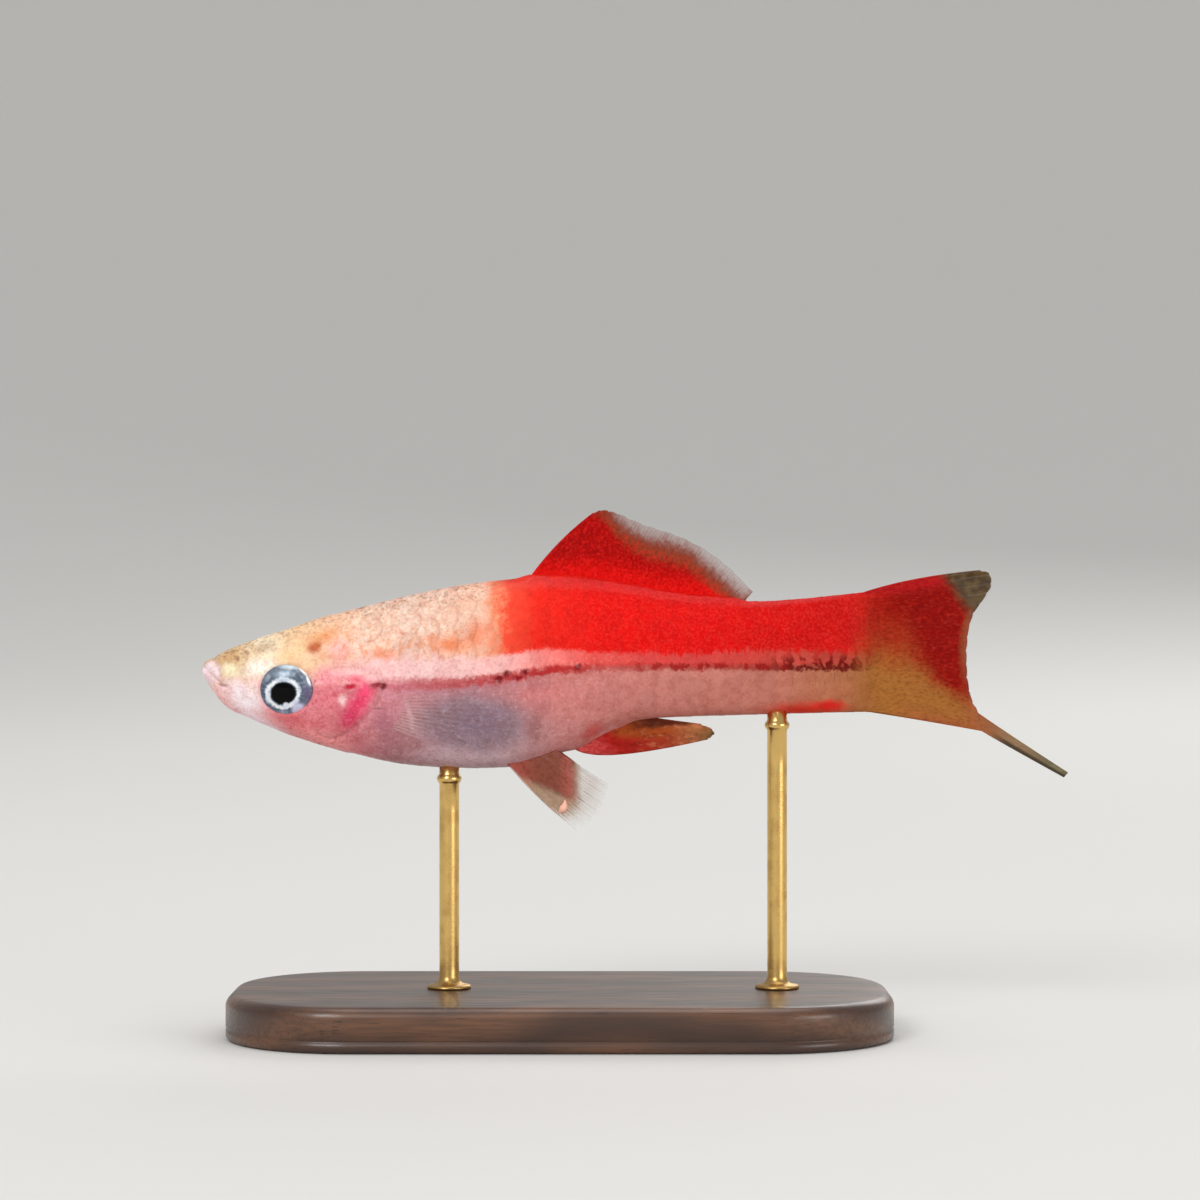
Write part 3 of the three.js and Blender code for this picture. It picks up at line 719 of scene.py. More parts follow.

# %% [markdown]
# ## Patches on the head and body
# Single marks, such as the magenta glow of the gills seen through their cover, are soft ovals laid
# one over the other like glazes. A few are painted light: highlights on the cheek, before the eye and
# on the gill cover, and a lighter throat and low belly that stand in for light from below. Each has a
# centre, a size, a turn, a softness, a strength and a colour.

# %% Single marks
PATCHES = {
    "pale lips": ((0.72, -0.05), (1.1, 1.45), -38, 0.5, 0.85, (252, 232, 242)),
    "tan snout top": ((2.3, 1.35), (1.9, 0.7), 33, 0.7, 0.75, (212, 172, 124)),
    "gold snout": ((2.5, 0.2), (1.3, 0.95), -20, 0.85, 0.85, (255, 250, 212)),
    "cheek in front": ((3.9, -2.4), (3.2, 1.7), -36, 0.85, 0.92, (255, 246, 252)),
    "jaw": ((3.2, -2.9), (2.6, 0.7), -42, 0.9, 0.7, (255, 238, 240)),
    "jaw rim": ((5.4, -4.6), (4.2, 0.55), -30, 0.9, 0.75, (255, 232, 246)),
    # Pearly pale skin before the eye, with a painted highlight on it.
    "pearly skin and painted highlight before the eye": ((5.1, 0.35), (2.3, 1.1), 14, 0.8, 0.95, (255, 252, 240)),
    # A painted highlight on the cheek.
    "painted highlight on the cheek": ((4.6, -1.6), (1.3, 0.8), -50, 0.9, 0.8, (255, 238, 234)),
    "cream over the eye": ((8.2, 1.6), (2.2, 0.9), 18, 0.85, 0.8, (243, 204, 152)),
    "grey crown": ((5.8, 2.35), (1.8, 0.75), 24, 0.85, 0.75, (208, 190, 162)),
    "orange crown": ((10.8, 3.1), (2.6, 1.2), 22, 0.9, 0.8, (240, 176, 120)),
    "orange spot": ((10.1, 2.2), (1.0, 0.7), 20, 0.75, 1.0, (196, 96, 36)),
    "pink temple": ((12.4, 1.9), (1.9, 1.9), 15, 0.95, 0.85, (253, 180, 176)),
    "pale nape": ((14.4, 2.6), (1.6, 1.5), 20, 0.9, 0.7, (252, 222, 206)),
    "pink behind the eye": ((11.4, -0.6), (2.1, 2.0), 0, 0.9, 0.85, (252, 160, 170)),
    "orange shoulder": ((16.4, 1.7), (1.9, 0.85), -5, 0.9, 0.8, (243, 154, 116)),
    "lower cheek": ((8.6, -4.6), (4.6, 1.4), -27, 0.85, 0.85, (222, 108, 116)),
    # The throat is painted lighter than its own pink, as painted light on the shaded underside.
    "throat": ((11.2, -6.2), (4.6, 1.3), -22, 0.85, 0.85, (255, 166, 168)),
    "gill cover": ((11.4, -2.6), (2.0, 2.0), 0, 0.9, 0.6, (236, 128, 140)),
    "glow above": ((14.0, -0.7), (1.5, 0.75), -6, 0.9, 0.8, (248, 96, 126)),
    "glow behind": ((14.7, -1.9), (1.25, 1.5), -10, 0.85, 0.95, (250, 80, 122)),
    "glow middle": ((14.1, -3.1), (1.8, 1.45), 50, 0.85, 0.95, (234, 62, 106)),
    "glow below": ((13.3, -4.25), (1.7, 1.15), 48, 0.85, 0.92, (214, 58, 98)),
    "crimson spot": ((13.4, -1.35), (0.72, 0.36), 14, 0.65, 0.95, (196, 16, 50)),
    "dark red bar": ((15.9, -1.25), (1.1, 0.36), 2, 0.75, 0.9, (146, 34, 44)),
    "dark bar end": ((16.5, -1.35), (0.4, 0.5), 0, 0.7, 0.9, (104, 22, 32)),
    # A painted highlight on the gill cover.
    "painted highlight on the gill cover": ((12.7, -2.5), (0.6, 0.85), 14, 0.8, 0.9, (252, 212, 212)),
    "grey dash": ((16.0, -3.3), (0.6, 0.13), 0, 0.7, 0.75, (124, 88, 98)),
    "mouth mark": ((1.8, -1.15), (0.72, 0.22), -16, 0.8, 0.7, (154, 104, 88)),
    "dusk behind the gill": ((16.6, -4.9), (1.5, 2.6), 8, 0.9, 0.75, (178, 108, 124)),
    "breast": ((18.2, -6.4), (3.2, 1.7), -14, 0.9, 0.7, (186, 124, 130)),
    # The low belly is painted lighter than its own colour, as painted light on the shaded underside.
    "low belly": ((23.6, -7.6), (6.4, 1.5), -2, 0.9, 0.75, (220, 192, 202)),
    "grey belly": ((24.5, -4.7), (6.6, 3.35), -3, 0.5, 0.93, (146, 120, 134)),
    "grey belly core": ((25.0, -4.6), (3.8, 2.1), 0, 0.95, 0.6, (132, 110, 132)),
    "warm belly edge": ((30.0, -5.0), (1.2, 2.2), 0, 0.9, 0.7, (164, 100, 100)),
    "pink flank": ((30.6, -2.0), (2.4, 1.1), 0, 0.9, 0.7, (222, 130, 130)),
    "pectoral root": ((18.8, -4.0), (0.4, 1.9), 15, 0.9, 0.7, (238, 200, 202)),
    "orange side": ((22.6, 2.5), (3.3, 1.4), 0, 0.95, 0.85, (247, 146, 98)),
    "orange before the red": ((25.0, 3.4), (1.8, 2.0), 0, 0.95, 0.8, (250, 142, 106)),
    "line blob 1": ((26.9, -0.65), (0.7, 0.42), 15, 0.8, 0.95, (124, 12, 28)),
    "line blob 2": ((27.6, -0.1), (0.52, 0.5), 30, 0.8, 0.95, (116, 12, 28)),
    "line blob 3": ((28.6, -0.5), (0.6, 0.32), 20, 0.8, 0.9, (138, 16, 30)),
    "line blob 4": ((29.3, 0.05), (0.52, 0.44), 30, 0.8, 0.95, (120, 12, 26)),
    "line end": ((31.7, 0.15), (2.8, 0.4), 8, 0.8, 0.7, (186, 40, 42)),
    "line blob 5": ((34.1, 0.5), (0.6, 0.32), 38, 0.7, 0.85, (130, 24, 28)),
    "anal root": ((35.4, -5.4), (1.9, 0.9), 30, 0.95, 0.7, (208, 72, 66)),
    "red under the stalk": ((54.6, -3.4), (5.2, 1.15), 2, 0.9, 0.95, (204, 48, 32)),
    "bright red under the stalk": ((57.0, -3.05), (2.3, 0.75), 0, 0.9, 0.95, (222, 30, 24)),
}
print("single marks", len(PATCHES))

# %% [markdown]
# ## The tail's colours
# The scaled stalk runs out over the root of the tail fin, so both share one drawing: tan below, deep
# red above and behind, and an olive upper tip that is partly clear. Threads of light and dark along
# the rays break the colours up.

# %% Tail colours


def tail_ground(spot, s, h):
    """Colour of the tail from its root outwards, and how clear its upper tip is."""
    uneven = (noise(spot, 0.6, 4.0) - 0.5) * 3.2
    rough = (noise(spot, 3.5, 3.0) - 0.5) * 2.0
    low = h + (s - 62.0) * 0.25 + uneven * 0.7 + rough
    colour = mix(rise(low, -0.8, 3.4), paint(162, 102, 46), paint(160, 44, 20))
    colour = mix(rise(h + rough * 0.5, 3.2, 6.0) * 0.9, colour, paint(148, 14, 5))
    deep = rise(s + (h - 4.1) * 0.43 + uneven * 0.5 + rough * 0.7, 62.9, 65.6)
    deep = deep * rise(h + (s - 65.0) * 0.39 + 0.7 + uneven * 0.4 + rough * 0.6, -1.2, 1.0)
    colour = mix(deep, colour, paint(140, 8, 3))
    bright = rise(noise(spot, 2.6, 4.0), 0.45, 0.7) * deep
    colour = mix(bright * 0.4, colour, paint(178, 26, 14))
    along_top = rise(h - (s - 60) * 0.165, 5.9, 7.3) * rise(s + rough, 69, 66.5)
    colour = mix(along_top * 0.7, colour, paint(186, 22, 28))
    along_low = rise(h + (s - 62) * 0.2 + rough * 0.5, -2.2, -3.9) * rise(s, 62, 66)
    along_low = along_low.larger(rise(s + rough * 0.5, 68.6, 70.4) * rise(h + rough * 0.3, -1.6, -3.2))
    colour = mix(along_low * 0.85, colour, paint(164, 88, 50))
    tip = rise((s - 67.2) * 0.79 + (h - 8.3) * 0.61 + uneven * 0.25 + rough * 0.2, -0.5, 1.1)
    threads = noise(spot, 4.2, 4.0, stretch=(0.6, 1, 1.3))
    shade = ramp(threads, [(0.3, (204, 194, 190)), (0.52, (252, 250, 250)), (0.66, (255, 255, 255))])
    colour = mix(0.8, colour, shade, "MULTIPLY")
    colour = mix(rise(threads, 0.52, 0.72) * 0.07, colour, paint(212, 122, 84))
    olive = mix(rise(noise(spot, 1.5, 4.0), 0.4, 0.6), paint(68, 56, 32), paint(98, 82, 50))
    return mix(tip * 0.95, colour, olive), tip


# %% [markdown]
# ## Bands and marks
# The bands are laid one over the other, from the belly up to the back, each by how high a point lies
# over the dark line. Noise is added to the heights before the colours are read, so that a border
# wanders, blurs or grows small spikes where the real one does.

# %% Bands and single marks


def body_bands(straight, s, h, line):
    """The colour bands of belly, flank, pale band and back, with the dark red line between them."""
    colour = mix(rise(h, -5.6, -2.8), ramp(s, BELLY_COLOURS), ramp(s, FLANK_COLOURS))
    colour = mix(rise(h - line, -0.1, 0.35), colour, ramp(s, BAND_COLOURS))
    spikes = (noise(straight, 2.2, stretch=(2.2, 1, 0.5)) - 0.5) * 1.5 * rise(s, 36, 42)
    spikes = spikes + (noise(straight, 1.4, 3.0) - 0.5) * 2.0 * rise(s, 27, 23)
    blur = 3.6 - rise(s, 23, 27) * 2.6
    blot = (noise(straight, 1.3, 4.0) * 2.6 + noise(straight, 4.4, 3.0) * 1.8 - 2.2) * rise(s, 36, 30)
    back_colour = ramp(s + blot, BACK_COLOURS)
    colour = mix(rise((h - follow(s, BAND_TOP) + spikes) / blur, -0.25, 0.3), colour, back_colour)
    width = follow(s, LINE_WIDTH)
    near = rise((h - line).size() - width + (noise(straight, 2.6, 2.0) - 0.5) * 0.5, 0.34, -0.2)
    return mix(near * follow(s, LINE_STRENGTH), colour, ramp(s, LINE_COLOURS))


def single_marks(place, colour):
    """Lays the single marks over the bands, in their order."""
    for centre, size, turn, soft, strength, shade in PATCHES.values():
        colour = mix(patch(place, centre, size, turn, soft) * strength, colour, paint(*shade))
    return colour


# %% [markdown]
# ## Chevrons and specks
# Towards the tail, dark brown pigment shows between pale, pointed scales along the line, like a row
# of chevrons. A wave along s would repeat too evenly, so each scale draws a lot for its width, and
# noise bends the row. Specks on the back, a blush on the cheek and orange on the side follow.

# %% Pigment along the line and on the back
CHEVRON_PITCH = 1.27
BEAD_PITCH = 1.95


def chevrons(straight, s, h, line, bent, colour):
    """Dark chevrons between pale scales near the tail, and dark beads on the line before them."""
    bend_s, _, bend_h = parts(bent[0])
    scale_at = (s + (bend_s - 0.5) * 2.6) / CHEVRON_PITCH
    up = h - line + (bend_h - 0.5) * 0.7
    inputs = {"W": scale_at.floor()}
    lot = Wire(add(straight.tree, "ShaderNodeTexWhiteNoise", inputs, noise_dimensions="1D"))
    across = (scale_at.wrap() - 0.5) * CHEVRON_PITCH / (0.3 + lot * 0.3)
    oval = vector("LENGTH", together(straight.tree, across + up * 0.4, (up - 0.85) / 0.9))
    pale = rise(oval, 1.1, 0.7)
    reach = rise(s, 50.5, 53.5) * rise(s, 61.4, 60.2)
    dark = reach * (1.0 - pale) * rise(up, -0.4, -0.2) * rise(up, 1.4, 0.4) * rise(bent[1], 0.3, 0.47)
    colour = mix(reach * pale * rise(up, -0.3, 0.0) * 0.25, colour, paint(206, 104, 90))
    colour = mix(dark * 0.95, colour, paint(108, 6, 1))
    flecks = rise(noise(straight, 1.5, 2.0, stretch=(1.2, 1, 1.8)), 0.58, 0.66)
    flecks = flecks * rise((up - 1.7).size(), 0.5, 0.1)
    colour = mix(flecks * reach * 0.6, colour, paint(146, 44, 28))
    strokes = rise(noise(straight, 1.6, 2.0, stretch=(3.4, 1, 0.4)), 0.57, 0.7)
    below = rise(s, 50, 53.5) * rise(s, 60.5, 58.5) * rise(h, 0.2, -0.3) * rise(h, -2.0, -0.7)
    colour = mix(strokes * below * 0.4, colour, paint(112, 58, 48))
    beads = (s * (math.tau / BEAD_PITCH) + (bend_s - 0.5) * 12).wave() + (bent[1] - 0.5) * 3
    on_line = rise(s, 37, 42) * rise(s, 54, 52) * rise((h - line - 0.05).size(), 0.45, 0.15)
    return mix((rise(beads, -0.2, 0.8) * 0.6 + 0.25) * on_line, colour, paint(156, 8, 8))


def pigment(straight, s, y, h, colour):
    """Dark specks on the crown and flank, a blush on the cheek, and orange and chalk on the back."""
    top = rise(y.size(), 3.3, 1.0) * rise(parts(straight)[2], 0.6, 1.8)
    spread = rise(s, 27.5, 24) * rise(s, 0.6, 1.6)
    dark = specks(straight, 2.1, 0.36, 0.5).larger(specks(straight, 3.6, 0.4, 0.4) * 0.8)
    smudge = rise(noise(straight, 2.4, 3.0), 0.5, 0.64)
    colour = mix(dark.larger(smudge * 0.8) * top * spread * 0.6, colour, paint(104, 76, 52))
    sparse = specks(straight, 1.5, 0.2, 0.14) * rise(s, 36, 40) * rise(h, 0.4, -0.2) * rise(h, -3.6, -1)
    colour = mix(sparse * 0.45, colour, paint(110, 50, 44))
    blush = rise(noise(straight, 2.6, 3.0), 0.52, 0.66) * rise(h, 0.4, -0.8)
    blush = blush * rise(s, 16.5, 13) * rise(s, 6, 9)
    colour = mix(blush * 0.45, colour, paint(204, 58, 84))
    orange = rise(noise(straight, 1.5, 3.0, stretch=(1.3, 1, 0.8)), 0.46, 0.66) * rise(h, 0.9, 1.7)
    orange = orange * rise(s, 28, 25) * rise(s, 9, 12) * (0.2 + rise(h, 4.6, 3.0) * 0.8)
    colour = mix(orange * 0.55, colour, paint(243, 148, 98))
    chalk = rise(noise(straight, 2.0, 3.0), 0.46, 0.62) * rise(h, 2.6, 3.8)
    chalk = chalk * rise(s, 12, 15) * rise(s, 24, 21)
    return mix(chalk * 0.5, colour, paint(255, 236, 220))


# %% [markdown]
# ## Grain
# Close to, skin is a mosaic of pigment cells. Soft mottling and a fine grain are multiplied over the
# colours. The red of the back is deepened on its crest with painted shade, and has bright grains as
# well as dark ones. The whole drawing is one shader group with a place as its input, so that skin and
# scales both use it.

# %% The markings as one group


def grains(straight, s, y, h, colour):
    """Mottling, dark and bright grains, and painted shade that deepens the red on the crest of the back."""
    mottle = ramp(noise(straight, 1.1, 4.0), [(0.34, (234, 214, 208)), (0.58, (255, 255, 255))])
    colour = mix(0.6, colour, mottle, "MULTIPLY")
    grain = noise(straight, 4.4, 4.0)
    tone = ramp(grain, [(0.28, (210, 182, 172)), (0.5, (247, 242, 240)), (0.7, (255, 255, 255))])
    red = rise(s, 25, 28) * rise(h, 1.4, 2.2)
    colour = mix(0.5 - rise(s, 24, 30) * 0.15 - red * 0.15, colour, tone, "MULTIPLY")
    # Painted shade: a deeper red on the crest of the back, to hold back the light from above.
    colour = mix(rise(y.size(), 1.9, 0.6) * red * 0.55, colour, paint(192, 0, 0))
    return mix(rise(grain, 0.38, 0.74) * red * 0.24, colour, paint(255, 78, 66))


def fish_markings():
    """Builds the group that colours every point of the body."""
    outputs = {"Color": "NodeSocketColor", "Silver": "NodeSocketFloat"}
    group, inside, outside = new_group("fish_markings", {"Place": "NodeSocketVector"}, outputs)
    straight = as_seen(Wire(inside, "Place"))
    sway = noise(straight, 1.1, 3.0, colour=True)
    drift = vector("MULTIPLY_ADD", sway, (BORDER_DRIFT,) * 3, (-BORDER_DRIFT / 2,) * 3)
    place = vector("ADD", straight, drift)
    s, y, h = parts(place)
    h = h + (noise(straight, 4.2, 2.0) - 0.5) * BORDER_DRIFT
    line = follow(s, LINE_HEIGHT)
    bent = (noise(straight, 0.7, 2.0, colour=True), noise(straight, 1.9, 2.0))
    colour = single_marks(place, body_bands(straight, s, h, line))
    colour = chevrons(straight, s, h, line, bent, colour)
    colour = grains(straight, s, y, h, pigment(straight, s, y, h, colour))
    silver = rise(noise(straight, 2.6, 3.0, stretch=(1, 1, 1.25)), 0.5, 0.72)
    silver = silver * rise(s, 8, 16) * rise(s, 46, 30) * rise(h, 2.2, 1.2)
    colour = mix(silver * 0.13, colour, paint(255, 226, 228))
    onto_tail = rise(s + (bent[1] - 0.5) * 2.8 - rise(h, 2.0, 4.0) * 0.5, 58.4, 61.9)
    colour = mix(onto_tail, colour, tail_ground(straight, *parts(straight)[::2])[0])
    put_out(outside, Color=colour, Silver=silver)
    return group


markings = fish_markings()
print("nodes in the markings", len(markings.nodes))

# %% [markdown]
# ## Wet skin
# Living skin shines under a film of slime, but it reflects far less than varnish would. So the
# shader's own reflection is turned down, to keep the reds deep, and a thin, smooth coat gives the
# wet glints. It fades at the root of the tail, whose fin is duller. Folds and pits get painted shade,
# a little darker and redder. The bare skin and the scales share all of this, so that no border shows
# where the scales begin.

# %% Skin material
WET_SHINE = {"Specular IOR Level": 0.07, "Coat Weight": 0.09, "Coat Roughness": 0.1}
# The colour of the painted shade in folds and pits, and also of the darker pigment on the scale rims.
CREASE_SHADE_AND_RIM_COLOUR = (112, 50, 50)
DULL_FROM = (57.5, 60.5)


def body_finish(name, marks_of_its_own):
    """A body material: the markings, then what the piece adds to them, then the wet shine."""
    material, tree = new_material(name)
    place = fish_place(tree)
    marks = add(tree, "ShaderNodeGroup", {"Place": place}, node_tree=markings)
    colour = marks_of_its_own(tree, place, Wire(marks, "Color"))
    fine = noise(place, 3.2, 4.0) + noise(place, 9.0, 2.0) * 0.4
    dull = rise(parts(place)[0], *DULL_FROM)
    rough = 0.38 - Wire(marks, "Silver") * 0.12 + dull * 0.42
    shine = {**WET_SHINE, "Coat Weight": (1.0 - dull) * WET_SHINE["Coat Weight"]}
    dress(tree, {"Base Color": colour, "Roughness": rough, **shine}, height=fine, depth=0.05)
    return material


def skin_marks(tree, place, colour):
    """What the bare skin adds to the markings: painted shade in its folds and pits."""
    # Folds and pits get painted shade.
    return mix(attribute(tree, "painted_crease_shade") * 0.55, colour, paint(*CREASE_SHADE_AND_RIM_COLOUR))


skin.data.materials.append(body_finish("wet_skin", skin_marks))

# %% [markdown]
# ## Scales
# A swordtail has some 27 scales in a row along its side. Each is a thin plate, rounded behind, that
# overlaps the next like a roof tile. Geometry Nodes lay them: a lattice of points on the skin's
# unwrapped map gets one plate each, and every corner of each plate is then put on the skin at its
# own place, so that the plates bend round the body.

# %% One scale plate
SCALE_COLUMNS = 35
SCALE_ROWS = 20
SCALE_START = 8.6
SCALE_PITCH = 1.78
PITCH_LOSS = 0.0055
SCALE_OVERLAP = 1.55
SCALE_LIFT = 0.044
SCALE_THICKNESS = 0.014
SCALE_SUNK = 0.05
SCALE_FADE = 0.14
REAR_ROUND = 0.3
SHARP = 1.0
BAKE_SHRINK = 0.06


def scale_plate():
    """One plate from 0 to 1 along and -1 to 1 across: its root is sunk, its rear edge is rounded."""
    along = np.array([0, 0.3, 0.62, 0.86, 1.0])[:, None]
    across = np.array([-1, -0.74, -0.4, 0, 0.4, 0.74, 1])[None]
    reach = along * (1 - REAR_ROUND * np.abs(across) ** 2.6)
    rise_from_root = -SCALE_SUNK * (1 - step(along, 0, 0.3)) + SCALE_LIFT * along
    low = rise_from_root - 0.012 * across**2 - 0.01
    thick = SCALE_THICKNESS * (1 - 0.7 * step(along, 0.7, 1.0))
    flat = [reach, across + 0 * along]
    sheet = [np.stack([*flat, height + 0 * reach], axis=-1).reshape(-1, 3) for height in (low + thick, low)]
    rows, columns = len(along), across.size
    count = rows * columns
    faces = grid_faces(rows, columns).tolist()
    faces += [[count + v for v in face[::-1]] for face in faces]
    faces += rim_faces(rows, columns)
    corners = np.vstack(sheet)
    plate = new_object("scale_plate", corners * (1, 1, MM), faces, body=False)
    face_out(plate, sharp=SHARP)
    edge = np.maximum(step(along + 0 * across, 0.8, 1.0), step(np.abs(across) + 0 * along, 0.85, 1.0))
    store(plate, "edge", np.tile(edge.ravel(), 2))
    return plate


# %% [markdown]
# The tree below has named inputs, so the number and the size of the scales can be changed without
# touching the nodes. It ends by making the copies real and giving them their material, because a
# copy that exists only while rendering is lost when the model is saved for other programs.

# %% The scale tree


def geometry_tree(name, inputs):
    """An empty Geometry Nodes tree with named inputs."""
    tree = bpy.data.node_groups.new(name, "GeometryNodeTree")
    tree.interface.new_socket("Geometry", in_out="OUTPUT", socket_type="NodeSocketGeometry")
    for label, kind in {"Geometry": "NodeSocketGeometry", **inputs}.items():
        tree.interface.new_socket(label, in_out="INPUT", socket_type=kind)
    return tree, add(tree, "NodeGroupInput")


def end_tree(tree, geometry, inside):
    """Makes the copies real, smooths and gives the material, as the tree's last nodes."""
    real = add(tree, "GeometryNodeRealizeInstances", {0: geometry})
    soft = add(tree, "GeometryNodeSetShadeSmooth", {0: Wire(real)})
    inputs = {0: Wire(soft), "Material": Wire(inside, "Material")}
    last = add(tree, "GeometryNodeSetMaterial", inputs)
    add(tree, "NodeGroupOutput", {0: Wire(last)})


def run_tree(start, tree, values, name):
    """Runs a tree on an object and keeps the result as a plain mesh in a new object."""
    modifier = start.modifiers.new("nodes", "NODES")
    modifier.node_group = tree
    for item in tree.interface.items_tree:
        if item.in_out == "INPUT" and item.name in values:
            modifier[item.identifier] = values[item.name]
    bpy.context.view_layer.update()
    graph = bpy.context.evaluated_depsgraph_get()
    ready = start.evaluated_get(graph)
    mesh = bpy.data.meshes.new_from_object(ready, preserve_all_data_layers=True, depsgraph=graph)
    start.modifiers.remove(modifier)
    mesh.name = name
    made = bpy.data.objects.new(name, mesh)
    bpy.context.scene.collection.objects.link(made)
    return made


def named(tree, name, kind="FLOAT"):
    """A stored attribute, read inside Geometry Nodes."""
    return Wire(add(tree, "GeometryNodeInputNamedAttribute", {"Name": name}, data_type=kind), "Attribute")


def on_skin(tree, surface, value, where, kind):
    """Reads a value of the skin at a place on its unwrapped map."""
    unwrap = named(tree, "unwrap", "FLOAT_VECTOR")
    inputs = {"Mesh": surface, "Value": value, "Source UV Map": unwrap, "Sample UV": where}
    return Wire(add(tree, "GeometryNodeSampleUVSurface", inputs, data_type=kind), "Value")


def keep(tree, geometry, name, value, kind="FLOAT", domain="POINT"):
    """Stores a value on the geometry under a name."""
    inputs = {"Geometry": geometry, "Name": name, "Value": value}
    return Wire(add(tree, "GeometryNodeStoreNamedAttribute", inputs, data_type=kind, domain=domain))


def scaled_by(direction, amount):
    """A vector made longer or shorter."""
    inputs = {"Vector": direction, "Scale": amount}
    return Wire(add(direction.tree, "ShaderNodeVectorMath", inputs, operation="SCALE"))


def scale_tree():
    """Lays one plate on each point of a staggered lattice over the skin."""
    tree, inside = geometry_tree("scale_coat", {
        "Plate": "NodeSocketObject", "Rows": "NodeSocketInt", "Columns": "NodeSocketInt",
        "Start": "NodeSocketFloat", "Pitch": "NodeSocketFloat", "Pitch loss": "NodeSocketFloat",
        "Overlap": "NodeSocketFloat", "Fade": "NodeSocketFloat", "Length": "NodeSocketFloat",
        "Material": "NodeSocketMaterial",
    })
    surface, rows, length = Wire(inside, "Geometry"), Wire(inside, "Rows"), Wire(inside, "Length")
    first_pitch, loss = Wire(inside, "Pitch"), Wire(inside, "Pitch loss")
    order = Wire(add(tree, "GeometryNodeInputIndex"))
    position = Wire(add(tree, "GeometryNodeInputPosition"))

    column = ((order + 0.5) / rows).floor()
    row = order - column * rows
    s = Wire(inside, "Start") + column * first_pitch - column * column * loss
    turn = ((row + column.remainder(2.0) * 0.5) / rows).wrap()
    inputs = {"Count": rows * Wire(inside, "Columns"), "Position": together(tree, s / length, turn)}
    cloud = Wire(add(tree, "GeometryNodePoints", inputs))
    cloud = keep(tree, cloud, "pitch", first_pitch - (column * 2.0 + 1.0) * loss)
    lot = add(tree, "FunctionNodeRandomValue", {"Seed": 5}, data_type="FLOAT")
    cloud = keep(tree, cloud, "tone", Wire(lot, "Value_001"))
    cloud = keep(tree, cloud, "root", position, "FLOAT_VECTOR")
    zone = on_skin(tree, surface, named(tree, "scaled"), position, "FLOAT")
    outside = Wire(add(tree, "FunctionNodeCompare", {"A": zone, "B": 0.6}, operation="LESS_THAN"))
    cloud = Wire(add(tree, "GeometryNodeDeleteGeometry", {"Geometry": cloud, "Selection": outside}))

    plate = Wire(add(tree, "GeometryNodeObjectInfo", {"Object": Wire(inside, "Plate")}), "Geometry")
    size = together(tree, named(tree, "pitch") * Wire(inside, "Overlap") / length, 0.6 / rows, 1.0)
    inputs = {"Points": cloud, "Instance": plate, "Scale": size}
    copies = Wire(add(tree, "GeometryNodeInstanceOnPoints", inputs))
    copies = Wire(add(tree, "GeometryNodeRealizeInstances", {0: copies}))

    root = named(tree, "root", "FLOAT_VECTOR")
    bake_patch = vector("ADD", root, scaled_by(vector("SUBTRACT", position, root), BAKE_SHRINK))
    copies = keep(tree, copies, "OFBake", bake_patch, "FLOAT2", "CORNER")
    u, v, lift = parts(position)
    where = together(tree, u.smaller(0.9999), v.wrap())
    base = on_skin(tree, surface, position, where, "FLOAT_VECTOR")
    way = on_skin(tree, surface, named(tree, "outward", "FLOAT_VECTOR"), where, "FLOAT_VECTOR")
    here = on_skin(tree, surface, named(tree, "scaled"), where, "FLOAT")
    lift = lift - (1.0 - here) * Wire(inside, "Fade")
    placed = vector("ADD", base, scaled_by(vector("NORMALIZE", way), lift))
    coat = Wire(add(tree, "GeometryNodeSetPosition", {"Geometry": copies, "Position": placed}))
    end_tree(tree, coat, inside)
    return tree


# %% [markdown]
# Scales share the skin's markings and shine. Each has a tone of its own, and its rim is a little
# darker. On the cream back, pigment gathers in the rims and draws a faint net.

# %% The coat


def scale_marks(tree, place, colour):
    """What scales add to the markings: their own tone and a darker rim."""
    s, _, h = parts(place)
    shade = ramp(attribute(tree, "tone"), [(0, (243, 243, 243)), (1, (255, 255, 255))])
    colour = mix(1.0, colour, shade, "MULTIPLY")
    rim = attribute(tree, "edge")
    net = rise(s, 28, 25) * rise(h, 0.9, 1.8) * rise(noise(place, 0.6), 0.25, 0.55)
    colour = mix(rim * net * 0.34, colour, paint(206, 122, 84))
    return mix(rim * 0.14, colour, mix(0.5, colour, paint(*CREASE_SHADE_AND_RIM_COLOUR)))


def scale_coat():
    """Runs the scale tree over a copy of the skin."""
    plate = scale_plate()
    surface = bpy.data.objects.new("scale_surface", skin.data.copy())
    bpy.context.scene.collection.objects.link(surface)
    coat = run_tree(surface, scale_tree(), {
        "Plate": plate, "Rows": SCALE_ROWS, "Columns": SCALE_COLUMNS, "Start": SCALE_START,
        "Pitch": SCALE_PITCH, "Pitch loss": PITCH_LOSS, "Overlap": SCALE_OVERLAP, "Fade": SCALE_FADE * MM,
        "Length": SKIN_LENGTH, "Material": body_finish("scale_coat", scale_marks),
    }, "scales")
    for scrap in (plate, surface):
        bpy.data.objects.remove(scrap)
    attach(coat, "root")
    return coat


scales = scale_coat()
print("scale faces", len(scales.data.polygons), "maps", [m.name for m in scales.data.uv_layers])

# %% [markdown]
# ## Eyes
# A fish's eye has no lids. A clear dome covers a metallic iris, and the ball of the lens bulges out
# through the pupil. A sphere would stand out too far from so thin a head, so the globe is a flat
# oval form made of rings, sunk into its hollow in the skin, with a low dome over the pupil.

# %% Eye shape
EYE_DEPTH = 1.25
EYE_INSET = 2.62
EYE_OVER = 1.09
EYE_TURN = 0.15
EYE_TILT = 0.14
PUPIL_REACH = 0.42
PUPIL_RISE = 0.1
PUPIL_CENTRE = (7.31, -1.93)


